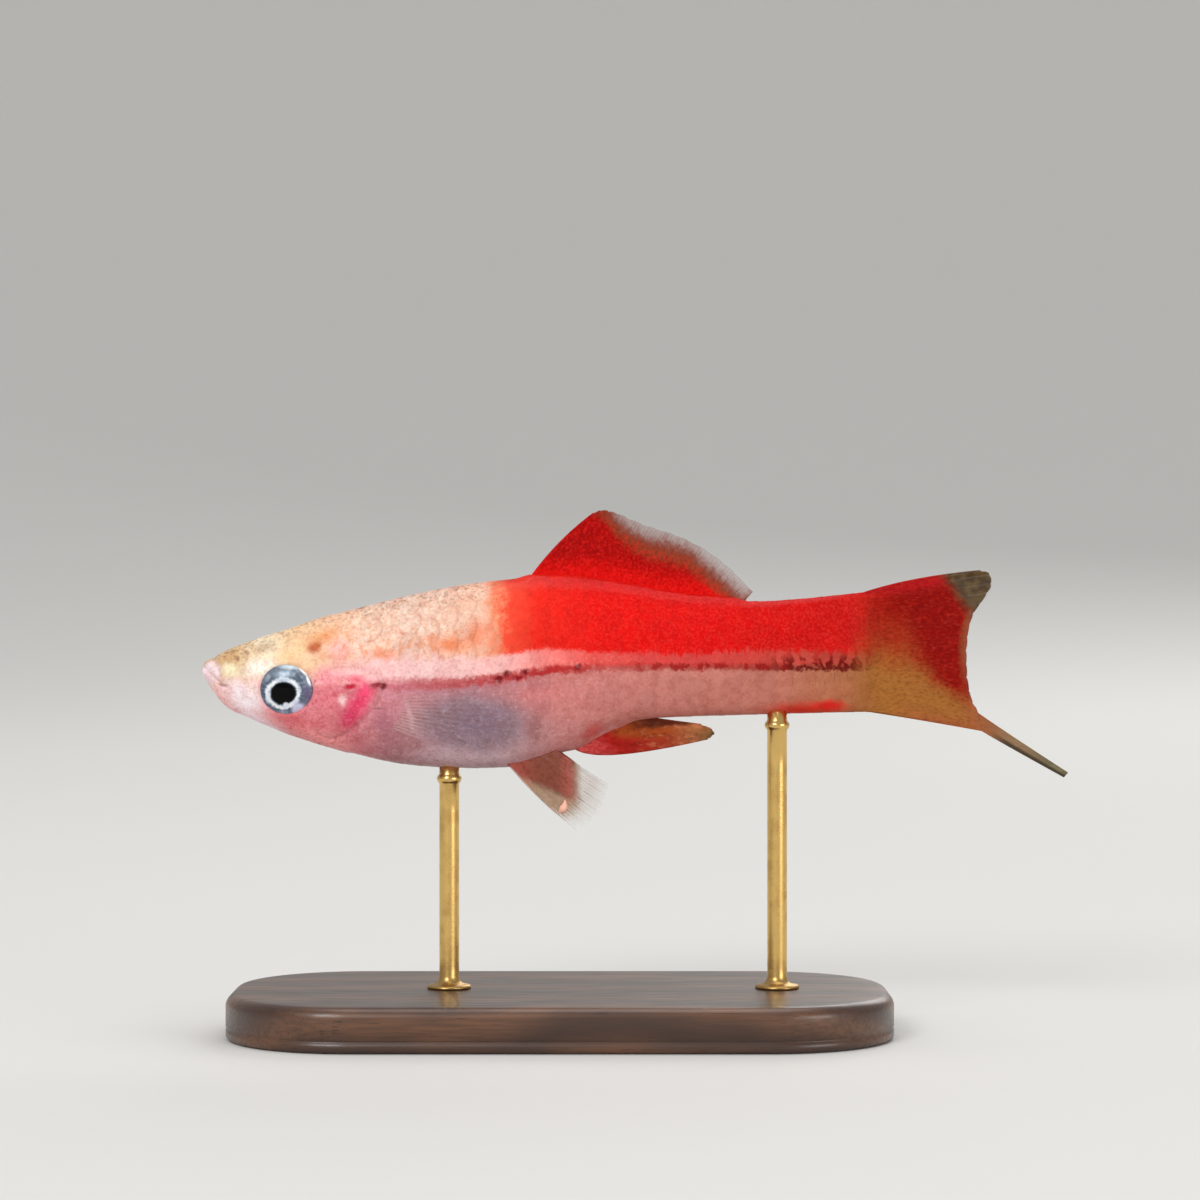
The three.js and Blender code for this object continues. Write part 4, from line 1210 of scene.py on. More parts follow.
def eye_ball(name, side):
    """A flat oval globe that sinks into the head round its edge, with a low dome over the pupil."""
    rings, sides = 46, 72
    angle = np.linspace(-math.pi / 2, math.pi / 2, rings)[1:-1]
    r = np.cos(angle)
    dome = PUPIL_RISE * np.where(angle > 0, step(r, PUPIL_REACH * 1.1, 0.06), 0)
    out = EYE_DEPTH * np.sin(angle) + dome
    around = math.tau * np.arange(sides) / sides
    wide, high = EYE_SIZE * EYE_OVER
    ring = (wide * r[:, None] * np.cos(around), out[:, None], high * r[:, None] * np.sin(around))
    tips = [[0, -EYE_DEPTH, 0], [0, EYE_DEPTH + PUPIL_RISE, 0]]
    points = np.vstack([np.stack(np.broadcast_arrays(*ring), -1).reshape(-1, 3), tips])
    count = len(points) - 2
    faces = grid_faces(rings - 2, sides, wrap=True).tolist()
    for i in range(sides):
        j = (i + 1) % sides
        faces += [(count, j, i), (count + 1, count - sides + i, count - sides + j)]
    x, y, z = points.T
    y, z = y * math.cos(EYE_TILT) + z * math.sin(EYE_TILT), z * math.cos(EYE_TILT) - y * math.sin(EYE_TILT)
    x, y = x * math.cos(EYE_TURN) - y * math.sin(EYE_TURN), y * math.cos(EYE_TURN) + x * math.sin(EYE_TURN)
    eye = new_object(name, place(x + EYE_CENTRE[0], side * (y + EYE_INSET), z + EYE_CENTRE[1]), faces)
    face_out(eye)
    return eye


# %% [markdown]
# ## Iris and pupil
# The iris is drawn in rings round the pupil. Paler and darker fields are laid over them as soft
# ovals, where this fish has them, and fine threads run round the pupil. The wet dome is a clear coat
# in the shader.

# %% Eye finish
IRIS_RINGS = [
    (0, (2, 2, 2)), (1.02, (3, 3, 4)), (1.12, (26, 28, 34)), (1.2, (96, 103, 116)), (1.28, (190, 198, 208)),
    (1.4, (240, 243, 247)), (1.56, (232, 237, 242)), (1.68, (150, 160, 174)), (1.8, (84, 94, 112)),
    (2.0, (104, 116, 134)), (2.3, (124, 134, 150)), (2.8, (104, 112, 132)),
]
IRIS_FIELDS = {
    "grey above": ((7.4, -0.2), (1.6, 0.6), 4, 0.8, 0.8, (140, 156, 168)),
    "pale rim above": ((7.9, 0.45), (1.6, 0.36), -4, 0.8, 0.9, (206, 222, 230)),
    "white crescent": ((9.12, 0.1), (0.8, 0.24), -46, 0.6, 0.98, (250, 252, 252)),
    "white crescent below": ((9.58, -0.72), (0.72, 0.2), -70, 0.7, 0.95, (246, 250, 252)),
    "dark inside the crescent": ((8.8, -0.6), (0.95, 0.24), -55, 0.8, 0.85, (80, 92, 108)),
    "purple behind": ((9.5, -1.95), (0.55, 1.2), 4, 0.7, 0.9, (104, 94, 126)),
    "slate in front": ((5.45, -1.75), (0.36, 1.2), 6, 0.8, 0.8, (84, 94, 114)),
    "pale front edge": ((5.9, -0.6), (0.3, 0.5), -36, 0.9, 0.5, (170, 182, 194)),
    "lavender below": ((8.65, -3.32), (0.82, 0.56), 24, 0.55, 0.95, (214, 214, 244)),
    "grey below": ((7.3, -3.6), (0.7, 0.3), 0, 0.8, 0.7, (150, 160, 186)),
    "white in front": ((5.95, -2.3), (0.26, 0.8), 14, 0.7, 0.8, (250, 250, 252)),
}
RING_FIELDS = {
    "grey top of the ring": ((7.3, -0.72), (1.0, 0.3), 0, 0.8, 0.75, (160, 176, 190)),
    "blue white side": ((5.95, -2.2), (0.3, 0.9), -8, 0.8, 0.8, (222, 230, 244)),
    "lilac corner of the ring": ((8.5, -2.75), (0.5, 0.4), 40, 0.9, 0.8, (206, 208, 236)),
    "grey side of the ring": ((8.75, -1.5), (0.2, 0.5), 0, 0.9, 0.5, (150, 160, 178)),
    "glint": ((7.55, -3.02), (0.36, 0.34), 0, 0.6, 0.95, (222, 228, 240)),
}
PUPIL_FLATTEN = 1.16


def eye_material():
    """Iris rings and fields round a black pupil, under a wet dome."""
    material, tree = new_material("eye")
    straight = as_seen(fish_place(tree))
    pupil_at = (PUPIL_CENTRE[0], 0, PUPIL_CENTRE[1])
    near = vector("MULTIPLY", vector("SUBTRACT", straight, pupil_at), (1, 0, PUPIL_FLATTEN))
    clean = vector("LENGTH", near)
    ds, _, dh = parts(near)
    angle = Wire(add(tree, "ShaderNodeMath", {0: dh, 1: ds}, operation="ARCTAN2"))
    lumps = noise(straight, 0.9, 2.0) - 0.5
    threads = noise(together(tree, angle * 7.0, clean * 1.2), 1.0, 3.0)
    r = clean + (lumps * 0.8 + (threads - 0.5) * 0.3) * rise(clean, 0.9, 1.4)
    colour = ramp(r, IRIS_RINGS)
    iris = rise(clean + lumps * 0.4, 1.45, 1.66)
    for centre, size, turn, soft, strength, shade in IRIS_FIELDS.values():
        colour = mix(patch(straight, centre, size, turn, soft) * strength * iris, colour, paint(*shade))
    colour = mix(rise(threads, 0.5, 0.72) * 0.22 * rise(clean, 1.2, 1.5), colour, paint(58, 66, 84))
    colour = mix(rise(threads, 0.48, 0.3) * 0.2 * rise(clean, 1.2, 1.5), colour, paint(236, 240, 246))
    for centre, size, turn, soft, strength, shade in RING_FIELDS.values():
        colour = mix(patch(straight, centre, size, turn, soft) * strength, colour, paint(*shade))
    metal = rise(clean, 1.15, 1.3) * 0.15
    rough = 0.32 - rise(clean, 1.2, 1.0) * 0.2
    dress(tree, {
        "Base Color": colour, "Roughness": rough, "Metallic": metal, "Specular IOR Level": 0.05,
        "Coat Weight": 0.1, "Coat Roughness": 0.02,
    }, height=threads * rise(clean, 1.15, 1.4), depth=0.03)
    return material


eye_finish = eye_material()
for eye_name, eye_side in {"eye_left": -1, "eye_right": 1}.items():
    eye = eye_ball("wet_" + eye_name, eye_side)
    eye.data.materials.append(eye_finish)
    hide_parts(eye_name)

# %% [markdown]
# ## Fins
# A fin is a web of thin skin held open by bony rays. Each fin here is one smooth surface between a
# root line and a tip line. A web is that surface with a little thickness, and the rays are lines on
# it that branch towards the edge, made round by Geometry Nodes.

# %% The surface of a fin


def through(points, t):
    """Points of the smooth open curve through a row of points, for t from 0 to 1."""
    p = np.array(points, float)
    p = np.vstack([2 * p[0] - p[1], p, 2 * p[-1] - p[-2]])
    place_in = np.clip(t, 0, 1) * (len(p) - 3)
    i = np.clip(place_in.astype(int), 0, len(p) - 4)
    x = (place_in - i)[..., None]
    a, b, c, d = p[i], p[i + 1], p[i + 2], p[i + 3]
    return b + x * (c - a) / 2 + x**2 * (a - 2.5 * b + 2 * c - d / 2) + x**3 * (1.5 * (b - c) + (d - a) / 2)


def fan(root, tip, bow, way, bow_at=0.5, sway=None):
    """The middle surface of a fin: u goes from its first ray to its last, v from root to tip."""
    way = np.array(way, float) / np.linalg.norm(way)

    def middle(u, v):
        u, v = np.broadcast_arrays(np.asarray(u, float), np.asarray(v, float))
        a, b = through(root, u), through(tip, u)
        bend = a + (b - a) * bow_at + way * (bow[0] + (bow[1] - bow[0]) * u)[..., None]
        t = v[..., None]
        spot = (a * (1 - t) + bend * t) * (1 - t) + (bend * (1 - t) + b * t) * t
        if sway:
            spot[..., 1] += sway(spot[..., 0], u, v)
        return spot

    return middle


def tail_sway(s, u, v):
    """The tail and its sword bend a little to the right."""
    return 1.1 * (np.clip(s - BODY_LENGTH, 0, None) / 18.5) ** 2


def root_line(start, end, count, y, height):
    """Places of a fin's root along the back or the belly."""
    return [(s, y, float(height(s))) for s in np.linspace(start, end, count)]


# %% [markdown]
# ## Webs
# The web is thickest at its root. Its edge falls back between the tips of the rays, and it hangs a
# little slack between them. Each point keeps its u and v, so that a material can tell the root from
# the margin.

# %% A web


def web(name, middle, rays, rows=44, steps=10, thick=(0.16, 0.06), notch=0.02, slack=0.05, whole_from=2.0):
    """A thin closed plate on a fin's surface. From u = whole_from on, its edge is not notched."""
    columns = (rays - 1) * steps + 1
    u = np.linspace(0, 1, columns)[:, None]
    v = np.linspace(0, 1, rows)[None]
    between = np.sin(math.pi * ((u * (rays - 1)) % 1)) ** 2
    fine = np.sin(math.pi * ((u * (rays - 1) * 4 + 0.5) % 1)) ** 2
    line = np.stack([u[:, 0] * 9, u[:, 0] * 0, u[:, 0] * 0], -1)
    fray = 1 + 0.5 * wander(line, 1.3, 21)[:, None]
    torn = 0.5 + 0.5 * wander(line, 0.35, 22)[:, None]
    drop = notch * (0.5 * between * fray + 0.35 * fine + 0.5 * torn) * (u < whole_from)
    reach = v * (1 - drop)
    nudge = 1e-3
    spot = middle(u + 0 * v, reach)
    along = middle(u + 0 * v, np.clip(reach + nudge, 0, 1)) - middle(u + 0 * v, np.clip(reach - nudge, 0, 1))
    across = middle(np.clip(u + nudge, 0, 1) + 0 * v, reach) - middle(np.clip(u - nudge, 0, 1) + 0 * v, reach)
    normal = np.cross(across, along)
    normal /= np.linalg.norm(normal, axis=-1, keepdims=True)
    half = (thick[0] + (thick[1] - thick[0]) * v) / 2 * np.ones_like(u)
    side = np.where(np.arange(columns) // steps % 2, 1, -1)[:, None]
    hang = slack * between * np.sin(math.pi * np.clip(v * 1.1, 0, 1)) * side
    sheet = spot + normal * hang[..., None]
    points = np.stack([sheet + normal * half[..., None], sheet - normal * half[..., None]]).reshape(-1, 3)
    count = columns * rows
    front = grid_faces(columns, rows)
    faces = front.tolist() + (front[:, ::-1] + count).tolist() + rim_faces(columns, rows)
    made = new_object(name, place(*points.T), faces)
    face_out(made)
    for label, values in {"u": u + 0 * v, "v": v + 0 * u}.items():
        store(made, label, np.tile(values.ravel(), 2))
    return made


# %% [markdown]
# ## Rays
# A soft ray is a row of small bony joints. It leaves the body as one rod and forks two or three
# times towards the margin. The fork lines are worked out once, as points joined by edges, and the
# tree below turns every edge into a tapered rod whose thickness is stored on its points.

# %% Ray lines
CLUB_LABEL = 2.0


def ray_lines(name, middle, count, forks, radius, spread=0.8, plain=(), club=None, ragged=0.02):
    """Centre lines of the rays: each forks at every place in forks and thins towards its tip."""
    points, edges, thick, labels = [], [], [], []
    gap = 1 / max(count - 1, 1)
    ends = [0, *forks, 1]
    draw = np.random.default_rng(31)
    for n in range(count):
        forked = n not in plain
        for level in range(len(ends) - 1 if forked else 1):
            start, end = (ends[level], ends[level + 1]) if forked else (0, 1)
            for j in range(2**level if forked else 1):
                own = ((j + 0.5) / 2**level - 0.5) * gap * spread * (level > 0) * forked
                parent = ((j // 2 + 0.5) / 2 ** (level - 1) - 0.5) * gap * spread if level > 1 else 0
                steps = max(4, int(30 * (end - start)))
                t = np.linspace(0, 1, steps + 1)
                v = start + (end - start) * t * (1 - ragged * draw.random() * (end == 1 and forked))
                shift = parent + (own - parent) * np.sin(t * math.pi / 2)
                u = np.clip(n * gap + shift, 0, 1)
                line = middle(u, v)
                base = len(points)
                points += line.tolist()
                edges += [(base + i, base + i + 1) for i in range(steps)]
                thin = 0.74**level if forked else 1
                around = (radius[0] + (radius[1] - radius[0]) * v) * thin
                thick += around.tolist()
                labels += np.stack([u, v], 1).tolist()
    if club:
        t = np.linspace(0, 1, 16)
        (u_from, u_to), (v_from, v_to), radius = club
        u, v = u_from + (u_to - u_from) * t, v_from + (v_to - v_from) * (1 - (1 - t) ** 2)
        edges += [(len(points) + i, len(points) + i + 1) for i in range(len(t) - 1)]
        points += middle(u, v).tolist()
        thick += (radius * np.sin(math.pi * np.clip(t, 0.1, 0.97) ** 1.4)).tolist()
        labels += [(0, CLUB_LABEL)] * len(t)
    mesh = bpy.data.meshes.new(name)
    mesh.from_pydata((place(*np.array(points).T)).tolist(), edges, [])
    lines = bpy.data.objects.new(name + "_lines", mesh)
    bpy.context.scene.collection.objects.link(lines)
    store(lines, "thick", np.array(thick) * MM)
    store(lines, "u", np.array(labels)[:, 0])
    store(lines, "v", np.array(labels)[:, 1])
    return lines


def ray_tree():
    """Turns edges into tapered rods."""
    inputs = {"Sides": "NodeSocketInt", "Material": "NodeSocketMaterial"}
    tree, inside = geometry_tree("fin_rays", inputs)
    lines = Wire(add(tree, "GeometryNodeMeshToCurve", {0: Wire(inside, "Geometry")}))
    ring = add(tree, "GeometryNodeCurvePrimitiveCircle", {"Resolution": Wire(inside, "Sides"), "Radius": 1.0})
    inputs = {"Curve": lines, "Profile Curve": Wire(ring), "Scale": named(tree, "thick"), "Fill Caps": True}
    rods = Wire(add(tree, "GeometryNodeCurveToMesh", inputs))
    end_tree(tree, rods, inside)
    return tree


rods_from_lines = ray_tree()


def rays(name, middle, material, **shape):
    """The rays of one fin as a finished piece."""
    lines = ray_lines(name, middle, **shape)
    made = run_tree(lines, rods_from_lines, {"Sides": 6, "Material": material}, name)
    bpy.data.objects.remove(lines)
    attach(made, "root")
    return made


# %% [markdown]
# ## Fin colours
# Webs let light through: they are nearly opaque and red where pigment is dense, and clear at the
# margins. The Alpha input does that. One group gives the joints of the rays. Each fin has a
# function that draws its colour and density from s and h, and from u and v, which say how far a
# point is across the fin and out to its edge.

# %% Fin finishes


def joint_group():
    """Fine rings along a ray, one for each of its bony joints."""
    inputs = {"Reach": "NodeSocketFloat", "Joints": "NodeSocketFloat"}
    group, inside, outside = new_group("ray_joints", inputs, {"Height": "NodeSocketFloat"})
    rings = (Wire(inside, "Reach") * Wire(inside, "Joints") * math.tau).wave()
    put_out(outside, Height=rise(rings, -1.0, -0.6))
    return group


ray_joints = joint_group()


RED_BORDER = [
    (29, 16.5), (35.5, 15.6), (37.9, 13.2), (40.3, 11.7), (43.2, 10.9), (44.6, 10.2), (46, 9.0),
    (49, 6.4),
]


def dorsal_look(spot, s, h, u, v):
    """Colour and density of the dorsal fin: dense red with painted highlights at the roots of its rays, then
    a thin reddish brown haze.
    """
    uneven = (noise(spot, 0.9, 3.0) - 0.5) * 2.0
    border = follow(s, RED_BORDER)
    base_highlight_streaks = (noise(together(u.tree, u * 60.0, v * 2.0), 1.0, 2.0) - 0.5) * 2.0
    speckle = (noise(spot, 2.6, 4.0) - 0.5) * 2.0
    inside = border - h + uneven * 0.5 + speckle * 0.6
    dense = rise(inside, -0.9, 0.7)
    haze = rise(inside, -1.9, -0.1)
    base = follow(s, [(29, 8.2), (34.5, 8.52), (42, 7.2), (51, 6.4)])
    colour = mix(rise(h - base, 2.6, 0.2), paint(166, 2, 1), paint(218, 5, 2))
    colour = mix(rise(inside, 1.9, 0.4) * 0.9, colour, paint(140, 62, 38))
    # Painted highlights: short pinkish streaks at the root of each ray.
    colour = mix(rise(base_highlight_streaks, 0.1, 0.5) * rise(v, 0.36, 0.1) * 0.3, colour, paint(240, 60, 60))
    grit = noise(spot, 4.2, 4.0)
    colour = mix(rise(grit, 0.5, 0.32) * 0.4, colour, paint(116, 0, 0))
    colour = mix(rise(grit, 0.46, 0.7) * rise(inside, -0.5, 1.0) * 0.45, colour, paint(232, 34, 26))
    colour = mix(dense, paint(142, 66, 46), colour)
    return colour, dense * 0.5 + haze * 0.36 + 0.13


def tail_look(spot, s, h, u, v):
    """Colour and density of the tail fin, whose lowest rays run into the sword."""
    colour, tip = tail_ground(spot, s, h)
    rear = rise(v + (noise(spot, 3.5, 3.0) - 0.5) * 0.05, 0.92, 0.99) * rise(u, 0.82, 0.5) * (1.0 - tip)
    colour = mix(rear * 0.7, colour, paint(156, 82, 42))
    on_sword = rise(s + h * 0.3, 67.6, 71.0) * rise(h, -2.6, -3.6)
    colour = mix(on_sword * 0.85, colour, paint(150, 96, 62))
    return colour, 1.0 - tip * 0.35 - rear * 0.25


def sword_look(spot, s, h, u, v):
    """The sword goes on from the tail: tan and grey rays over a dark lower margin."""
    colour, dense = tail_look(spot, s, h, u * 0.0 + 1.0, v)
    colour = mix(rise(s, 71.0, 74.0) * 0.9, colour, paint(138, 112, 84))
    colour = mix(rise(s, 74, 77.5) * 0.85, colour, paint(98, 96, 72))
    streak = noise(spot, 1.6, 2.0, stretch=(0.4, 1, 2.4))
    colour = mix(rise(streak, 0.5, 0.66) * 0.18 * rise(s, 71, 74), colour, paint(176, 156, 124))
    colour = mix(rise(u, 0.45, 0.8) * rise(s, 71.2, 73.4) * 0.85, colour, paint(46, 38, 30))
    return colour, dense


def anal_look(spot, s, h, u, v):
    """Colour and density of the male's folded anal fin, with a painted shadow in the gap where it lies under
    the belly.
    """
    colour = ramp(s, [
        (34, (190, 54, 50)), (36, (168, 22, 20)), (39, (160, 28, 20)), (42, (156, 54, 32)),
        (44.5, (156, 92, 54)), (46.5, (116, 90, 54)),
    ])
    upper = rise(h - follow(s, [(34, -5.2), (37, -5.8), (40, -6.0), (43, -5.6), (46.5, -5.2)]), -0.5, 0.5)
    brown = mix(rise(s, 42, 45), paint(160, 74, 28), paint(172, 106, 64))
    colour = mix(upper * rise(s, 36.2, 38.2) * 0.85, colour, brown)
    grit = noise(spot, 3.0, 4.0, stretch=(0.7, 1, 1.2))
    shade = ramp(grit, [(0.32, (206, 196, 194)), (0.5, (250, 248, 248)), (0.66, (255, 255, 255))])
    colour = mix(0.8, colour, shade, "MULTIPLY")
    front = rise(s + h * 0.6 + (noise(spot, 1.0, 2.0) - 0.5) * 3.0, 34.0, 30.6)
    colour = mix((rise(grit, 0.44, 0.66) * 0.5 + 0.3) * front, colour, paint(216, 96, 92))
    flecks = rise(noise(spot, 1.9, 4.0, stretch=(0.7, 1, 1.3)), 0.5, 0.68)
    flecks = flecks * rise(s, 37.5, 42) * rise(s, 46, 45)
    colour = mix(flecks * 0.45, colour, paint(206, 126, 92))
    # A painted shadow: the dark gap between the folded fin and the belly.
    shadow_gap = rise(h + 5.0 - (s - 42) * 0.1 + (noise(spot, 1.2) - 0.5) * 0.5, -0.2, 0.25)
    shadow_gap = shadow_gap * rise(s, 37.5, 41) * rise(s, 46, 44.5)
    colour = mix(shadow_gap * 0.85, colour, paint(60, 18, 10))
    return colour, rise(s, 47, 45) * 0.25 + 0.75


def pelvic_look(spot, s, h, u, v):
    """Colour and density of the pelvic fins: the pale first ray, a pink web and a clear margin."""
    fuzz = (noise(spot, 1.6, 3.0) - 0.5) * 0.6
    above = h - follow(s, [(28, -8.7), (29.8, -9.9), (31.9, -10.8), (33.4, -11.5)]) + fuzz
    before = 33.7 - s + fuzz
    solid = rise(above, -0.45, 0.45) * rise(before, -0.9, 0.6)
    colour = mix(rise(s, 28, 31), paint(170, 82, 70), paint(138, 76, 58))
    colour = mix(rise(before, 1.6, 0.3) * 0.7, colour, paint(184, 94, 84))
    grit = noise(spot, 3.2, 4.0)
    colour = mix(rise(grit, 0.5, 0.36) * 0.5, colour, paint(112, 50, 42))
    first = mix(rise(s, 28, 30.5), paint(222, 124, 106), paint(176, 146, 118))
    first = mix(rise(grit, 0.48, 0.64) * 0.45, first, paint(220, 172, 150))
    colour = mix(solid, first, colour)
    club = rise(v, 1.4, 1.6)
    colour = mix(club, colour, paint(246, 190, 168))
    beside = rise(above, 0.3, -0.3) * rise(v, 0.95, 0.6) * rise(before, -1.2, 0.2)
    clear = (1.0 - solid) * beside * 0.6 + rise(v, 1.0, 0.8) * 0.07
    return colour, (solid * 0.88 + clear + club).smaller(1.0)


def pectoral_look(spot, s, h, u, v):
    """Colour and density of the clear pectoral fins."""
    colour = mix(rise(v, 0.1, 0.6), paint(236, 196, 192), paint(214, 186, 186))
    return colour, rise(v, 0.5, 0.0)


def fin_materials(name, look, web_alpha, ray_alpha, ray_shade, joints):
    """A fin's web and ray materials, from one drawing of its colours."""
    made = []
    for piece in ("web", "rays"):
        material, tree = new_material(f"{name}_{piece}")
        spot = fish_place(tree)
        s, _, h = parts(spot)
        u, v = attribute(tree, "u"), attribute(tree, "v")
        colour, dense = look(spot, s, h, u, v)
        streak = noise(together(tree, u * 90.0, v * 3.0), 1.0, 2.0)
        if piece == "web":
            dim = rise(streak, 0.4, 0.7) * rise(v, 0.3, 0.6) * 0.2
            colour = mix(dim, colour, mix(0.5, colour, paint(70, 10, 6)))
            alpha = dense * (web_alpha[1] - web_alpha[0]) + web_alpha[0]
            rough, height, depth = 0.42, streak, 0.05
        else:
            strength, *shade = ray_shade
            colour = mix(rise(v, 0.3, 0.6) * strength, colour, paint(*shade))
            alpha = dense * dense * (ray_alpha[1] - ray_alpha[0]) + ray_alpha[0]
            inputs = {"Reach": v, "Joints": joints}
            joint = Wire(add(tree, "ShaderNodeGroup", inputs, node_tree=ray_joints), "Height")
            rough, height, depth = 0.36, joint, 0.04
        shine = {"Specular IOR Level": 0.05, "Coat Weight": 0.06, "Coat Roughness": 0.15}
        dress(tree, {"Base Color": colour, "Alpha": alpha, "Roughness": rough, **shine}, height, depth)
        made.append(material)
    return made


# %% [markdown]
# ## Dorsal fin
# The tall fin on the back is the fish's sail. Its front is dense red and its upper rear edge fades
# to a clear, slightly frayed margin. It stands on a low fleshy ridge of the back.

# %% Dorsal fin
DORSAL_TIPS = [
    (35.5, 0, 14.45), (36.5, 0, 14.75), (38.0, 0, 14.35), (40.2, 0, 13.4), (43.0, 0, 12.5), (45.8, 0, 11.1),
    (48.2, 0, 9.2), (50.0, 0, 7.3),
]


def finish_fin(name, node, middle, look, slot, web_shape, ray_shape, **finish):
    """Makes a fin's web and rays, and lets them stand for the solid fin."""
    web_finish, ray_finish = fin_materials(name, look, **finish)
    sheet = web(name + "_web", middle, **web_shape)
    sheet.data.materials.append(web_finish)
    bones = rays(name + "_rays", middle, ray_finish, **ray_shape)
    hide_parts(node)
    print(name, len(sheet.data.polygons), "web faces", len(bones.data.polygons), "ray faces")


dorsal = fan(
    root_line(29.3, 48.6, 6, 0, lambda s: back(s) - 0.8), DORSAL_TIPS, (0.8, 0.1), (-0.65, 0, 0.76),
    sway=lambda s, u, v: 0.55 * v * v * np.sin(2.6 * u - 0.5),
)
finish_fin(
    "dorsal_fin", "dorsal_fin", dorsal, dorsal_look, "red_fin",
    {"rays": 14, "rows": 40, "notch": 0.015, "slack": 0.05, "thick": (0.3, 0.05)},
    {"count": 14, "forks": (0.38, 0.64), "radius": (0.15, 0.04), "plain": (0, 13), "ragged": 0.02},
    web_alpha=(0.0, 0.98), ray_alpha=(0.06, 1.0), ray_shade=(0.06, 240, 60, 50), joints=22.0,
)

# %% [markdown]
# ## Tail fin and sword
# The tail fin spreads from the stalk. The lowest rays of a grown male run on into a long point, the
# sword, with a dark lower edge. The tail's lowest rays end on the line where the sword's five rays
# begin, so the two pieces read as one fin.

# %% Tail fin and sword
SWORD_ROOT = [(70.5, 0, -3.7), (70.7, 0, -4.6), (70.9, 0, -5.35)]
SWORD_OVERLAP = (-0.45, 0, 0.25)
TAIL_TIPS = [
    (70.7, 0, 9.22), (71.55, 0, 8.95), (71.75, 0, 7.9), (71.1, 0, 6.7), (70.25, 0, 5.5), (69.75, 0, 4.2),
    (69.55, 0, 2.6), (69.5, 0, 0.9), (69.6, 0, -0.7), (69.9, 0, -2.3), *SWORD_ROOT,
]
tail_root = [(59.4, 0, h) for h in np.linspace(6.9, -3.35, 4)]
tail = fan(tail_root, TAIL_TIPS, (0.75, 0.1), (0, 0, 1), bow_at=0.4, sway=tail_sway)
finish_fin(
    "tail_fin", "tail_fin", tail, tail_look, "red_fin",
    {"rays": 17, "rows": 46, "notch": 0.008, "thick": (0.5, 0.1), "whole_from": 0.8},
    {"count": 17, "forks": (0.34, 0.6, 0.8), "radius": (0.14, 0.06), "plain": (0, *range(13, 17)),
     "ragged": 0.01},
    web_alpha=(0.3, 0.98), ray_alpha=(0.5, 1.0), ray_shade=(0.16, 214, 96, 66), joints=26.0,
)
sword_root = (np.array(SWORD_ROOT) + SWORD_OVERLAP).tolist()
sword_tip = [(78.75, 0, -9.25), (78.45, 0, -9.58)]
sword = fan(sword_root, sword_tip, (-0.12, -0.08), (0.5, 0, 0.86), bow_at=0.2, sway=tail_sway)
finish_fin(
    "sword", "sword", sword, sword_look, "sword",
    {"rays": 5, "rows": 40, "steps": 6, "notch": 0.0, "thick": (0.05, 0.14), "slack": 0.0},
    {"count": 5, "forks": (), "radius": (0.06, 0.09), "plain": range(5)},
    web_alpha=(0.7, 0.97), ray_alpha=(0.8, 1.0), ray_shade=(0.06, 180, 150, 112), joints=24.0,
)

# %% [markdown]
# ## Anal fin
# A male's anal fin is folded into a narrow rod of stout rays that lies back under the body.

# %% Anal fin
anal_root = root_line(33.5, 38.7, 4, 0, lambda s: belly(s) + 0.7)
anal_tips = [(45.9, 0, -6.05), (46.5, 0, -5.65), (46.3, 0, -5.2), (45.3, 0, -4.8)]
anal = fan(anal_root, anal_tips, (-2.35, -0.15), (0.1, 0, 1), bow_at=0.09)
finish_fin(
    "anal_fin", "anal_fin", anal, anal_look, "red_fin",
    {"rays": 9, "rows": 40, "steps": 6, "notch": 0.01, "thick": (0.6, 0.2), "slack": 0.04},
    {"count": 9, "forks": (0.5,), "radius": (0.3, 0.1), "plain": (0, 1, 8)},
    web_alpha=(0.8, 1.0), ray_alpha=(0.9, 1.0), ray_shade=(0.1, 206, 84, 56), joints=18.0,
)

# %% [markdown]
# ## Paired fins
# The pelvic fins hang under the belly, and a pale, soft club lies along their stout front ray. The
# pectoral fins are the fish's oars. They are so clear that only their rays show.

# %% Paired fins


def near_side(s, h):
    """How far out the body's surface is at a height."""
    rise_to = float(back(s) - level(s)) if h > level(s) else float(level(s) - belly(s))
    up = (h - float(level(s))) / rise_to
    return float(half_width(s)) * math.sqrt(max(0.0, 1 - up * up))


def pelvic_surface(side):
    """The middle surface of a pelvic fin, on the left (-1) or right (1)."""
    tips = [(34, side * 2.6, -14.2), (36, side * 3, -12.8), (36.9, side * 3, -10.4)]
    return fan(root_line(27.8, 32, 3, side, lambda s: belly(s) + 0.5), tips, (0.5, 0.1), (-0.7, 0, -0.7))


def pectoral_surface(side):
    """The middle surface of a pectoral fin, spread out and back from behind the gill opening."""
    places = [(t, -2.3 - 2.5 * t) for t in (0, 0.5, 1)]
    root = [(17.7 - 0.6 * t * t, side * (near_side(17.7, h) - 0.4), h) for t, h in places]
    tips = [(28.2, 7, -1.2), (30.3, 7.6, -3.2), (30.5, 7.7, -5.2), (28.8, 7.4, -7.1), (25.4, 6.9, -8)]
    return fan(root, [(s, side * y, h) for s, y, h in tips], (0.7, 0.4), (0, side, 0))


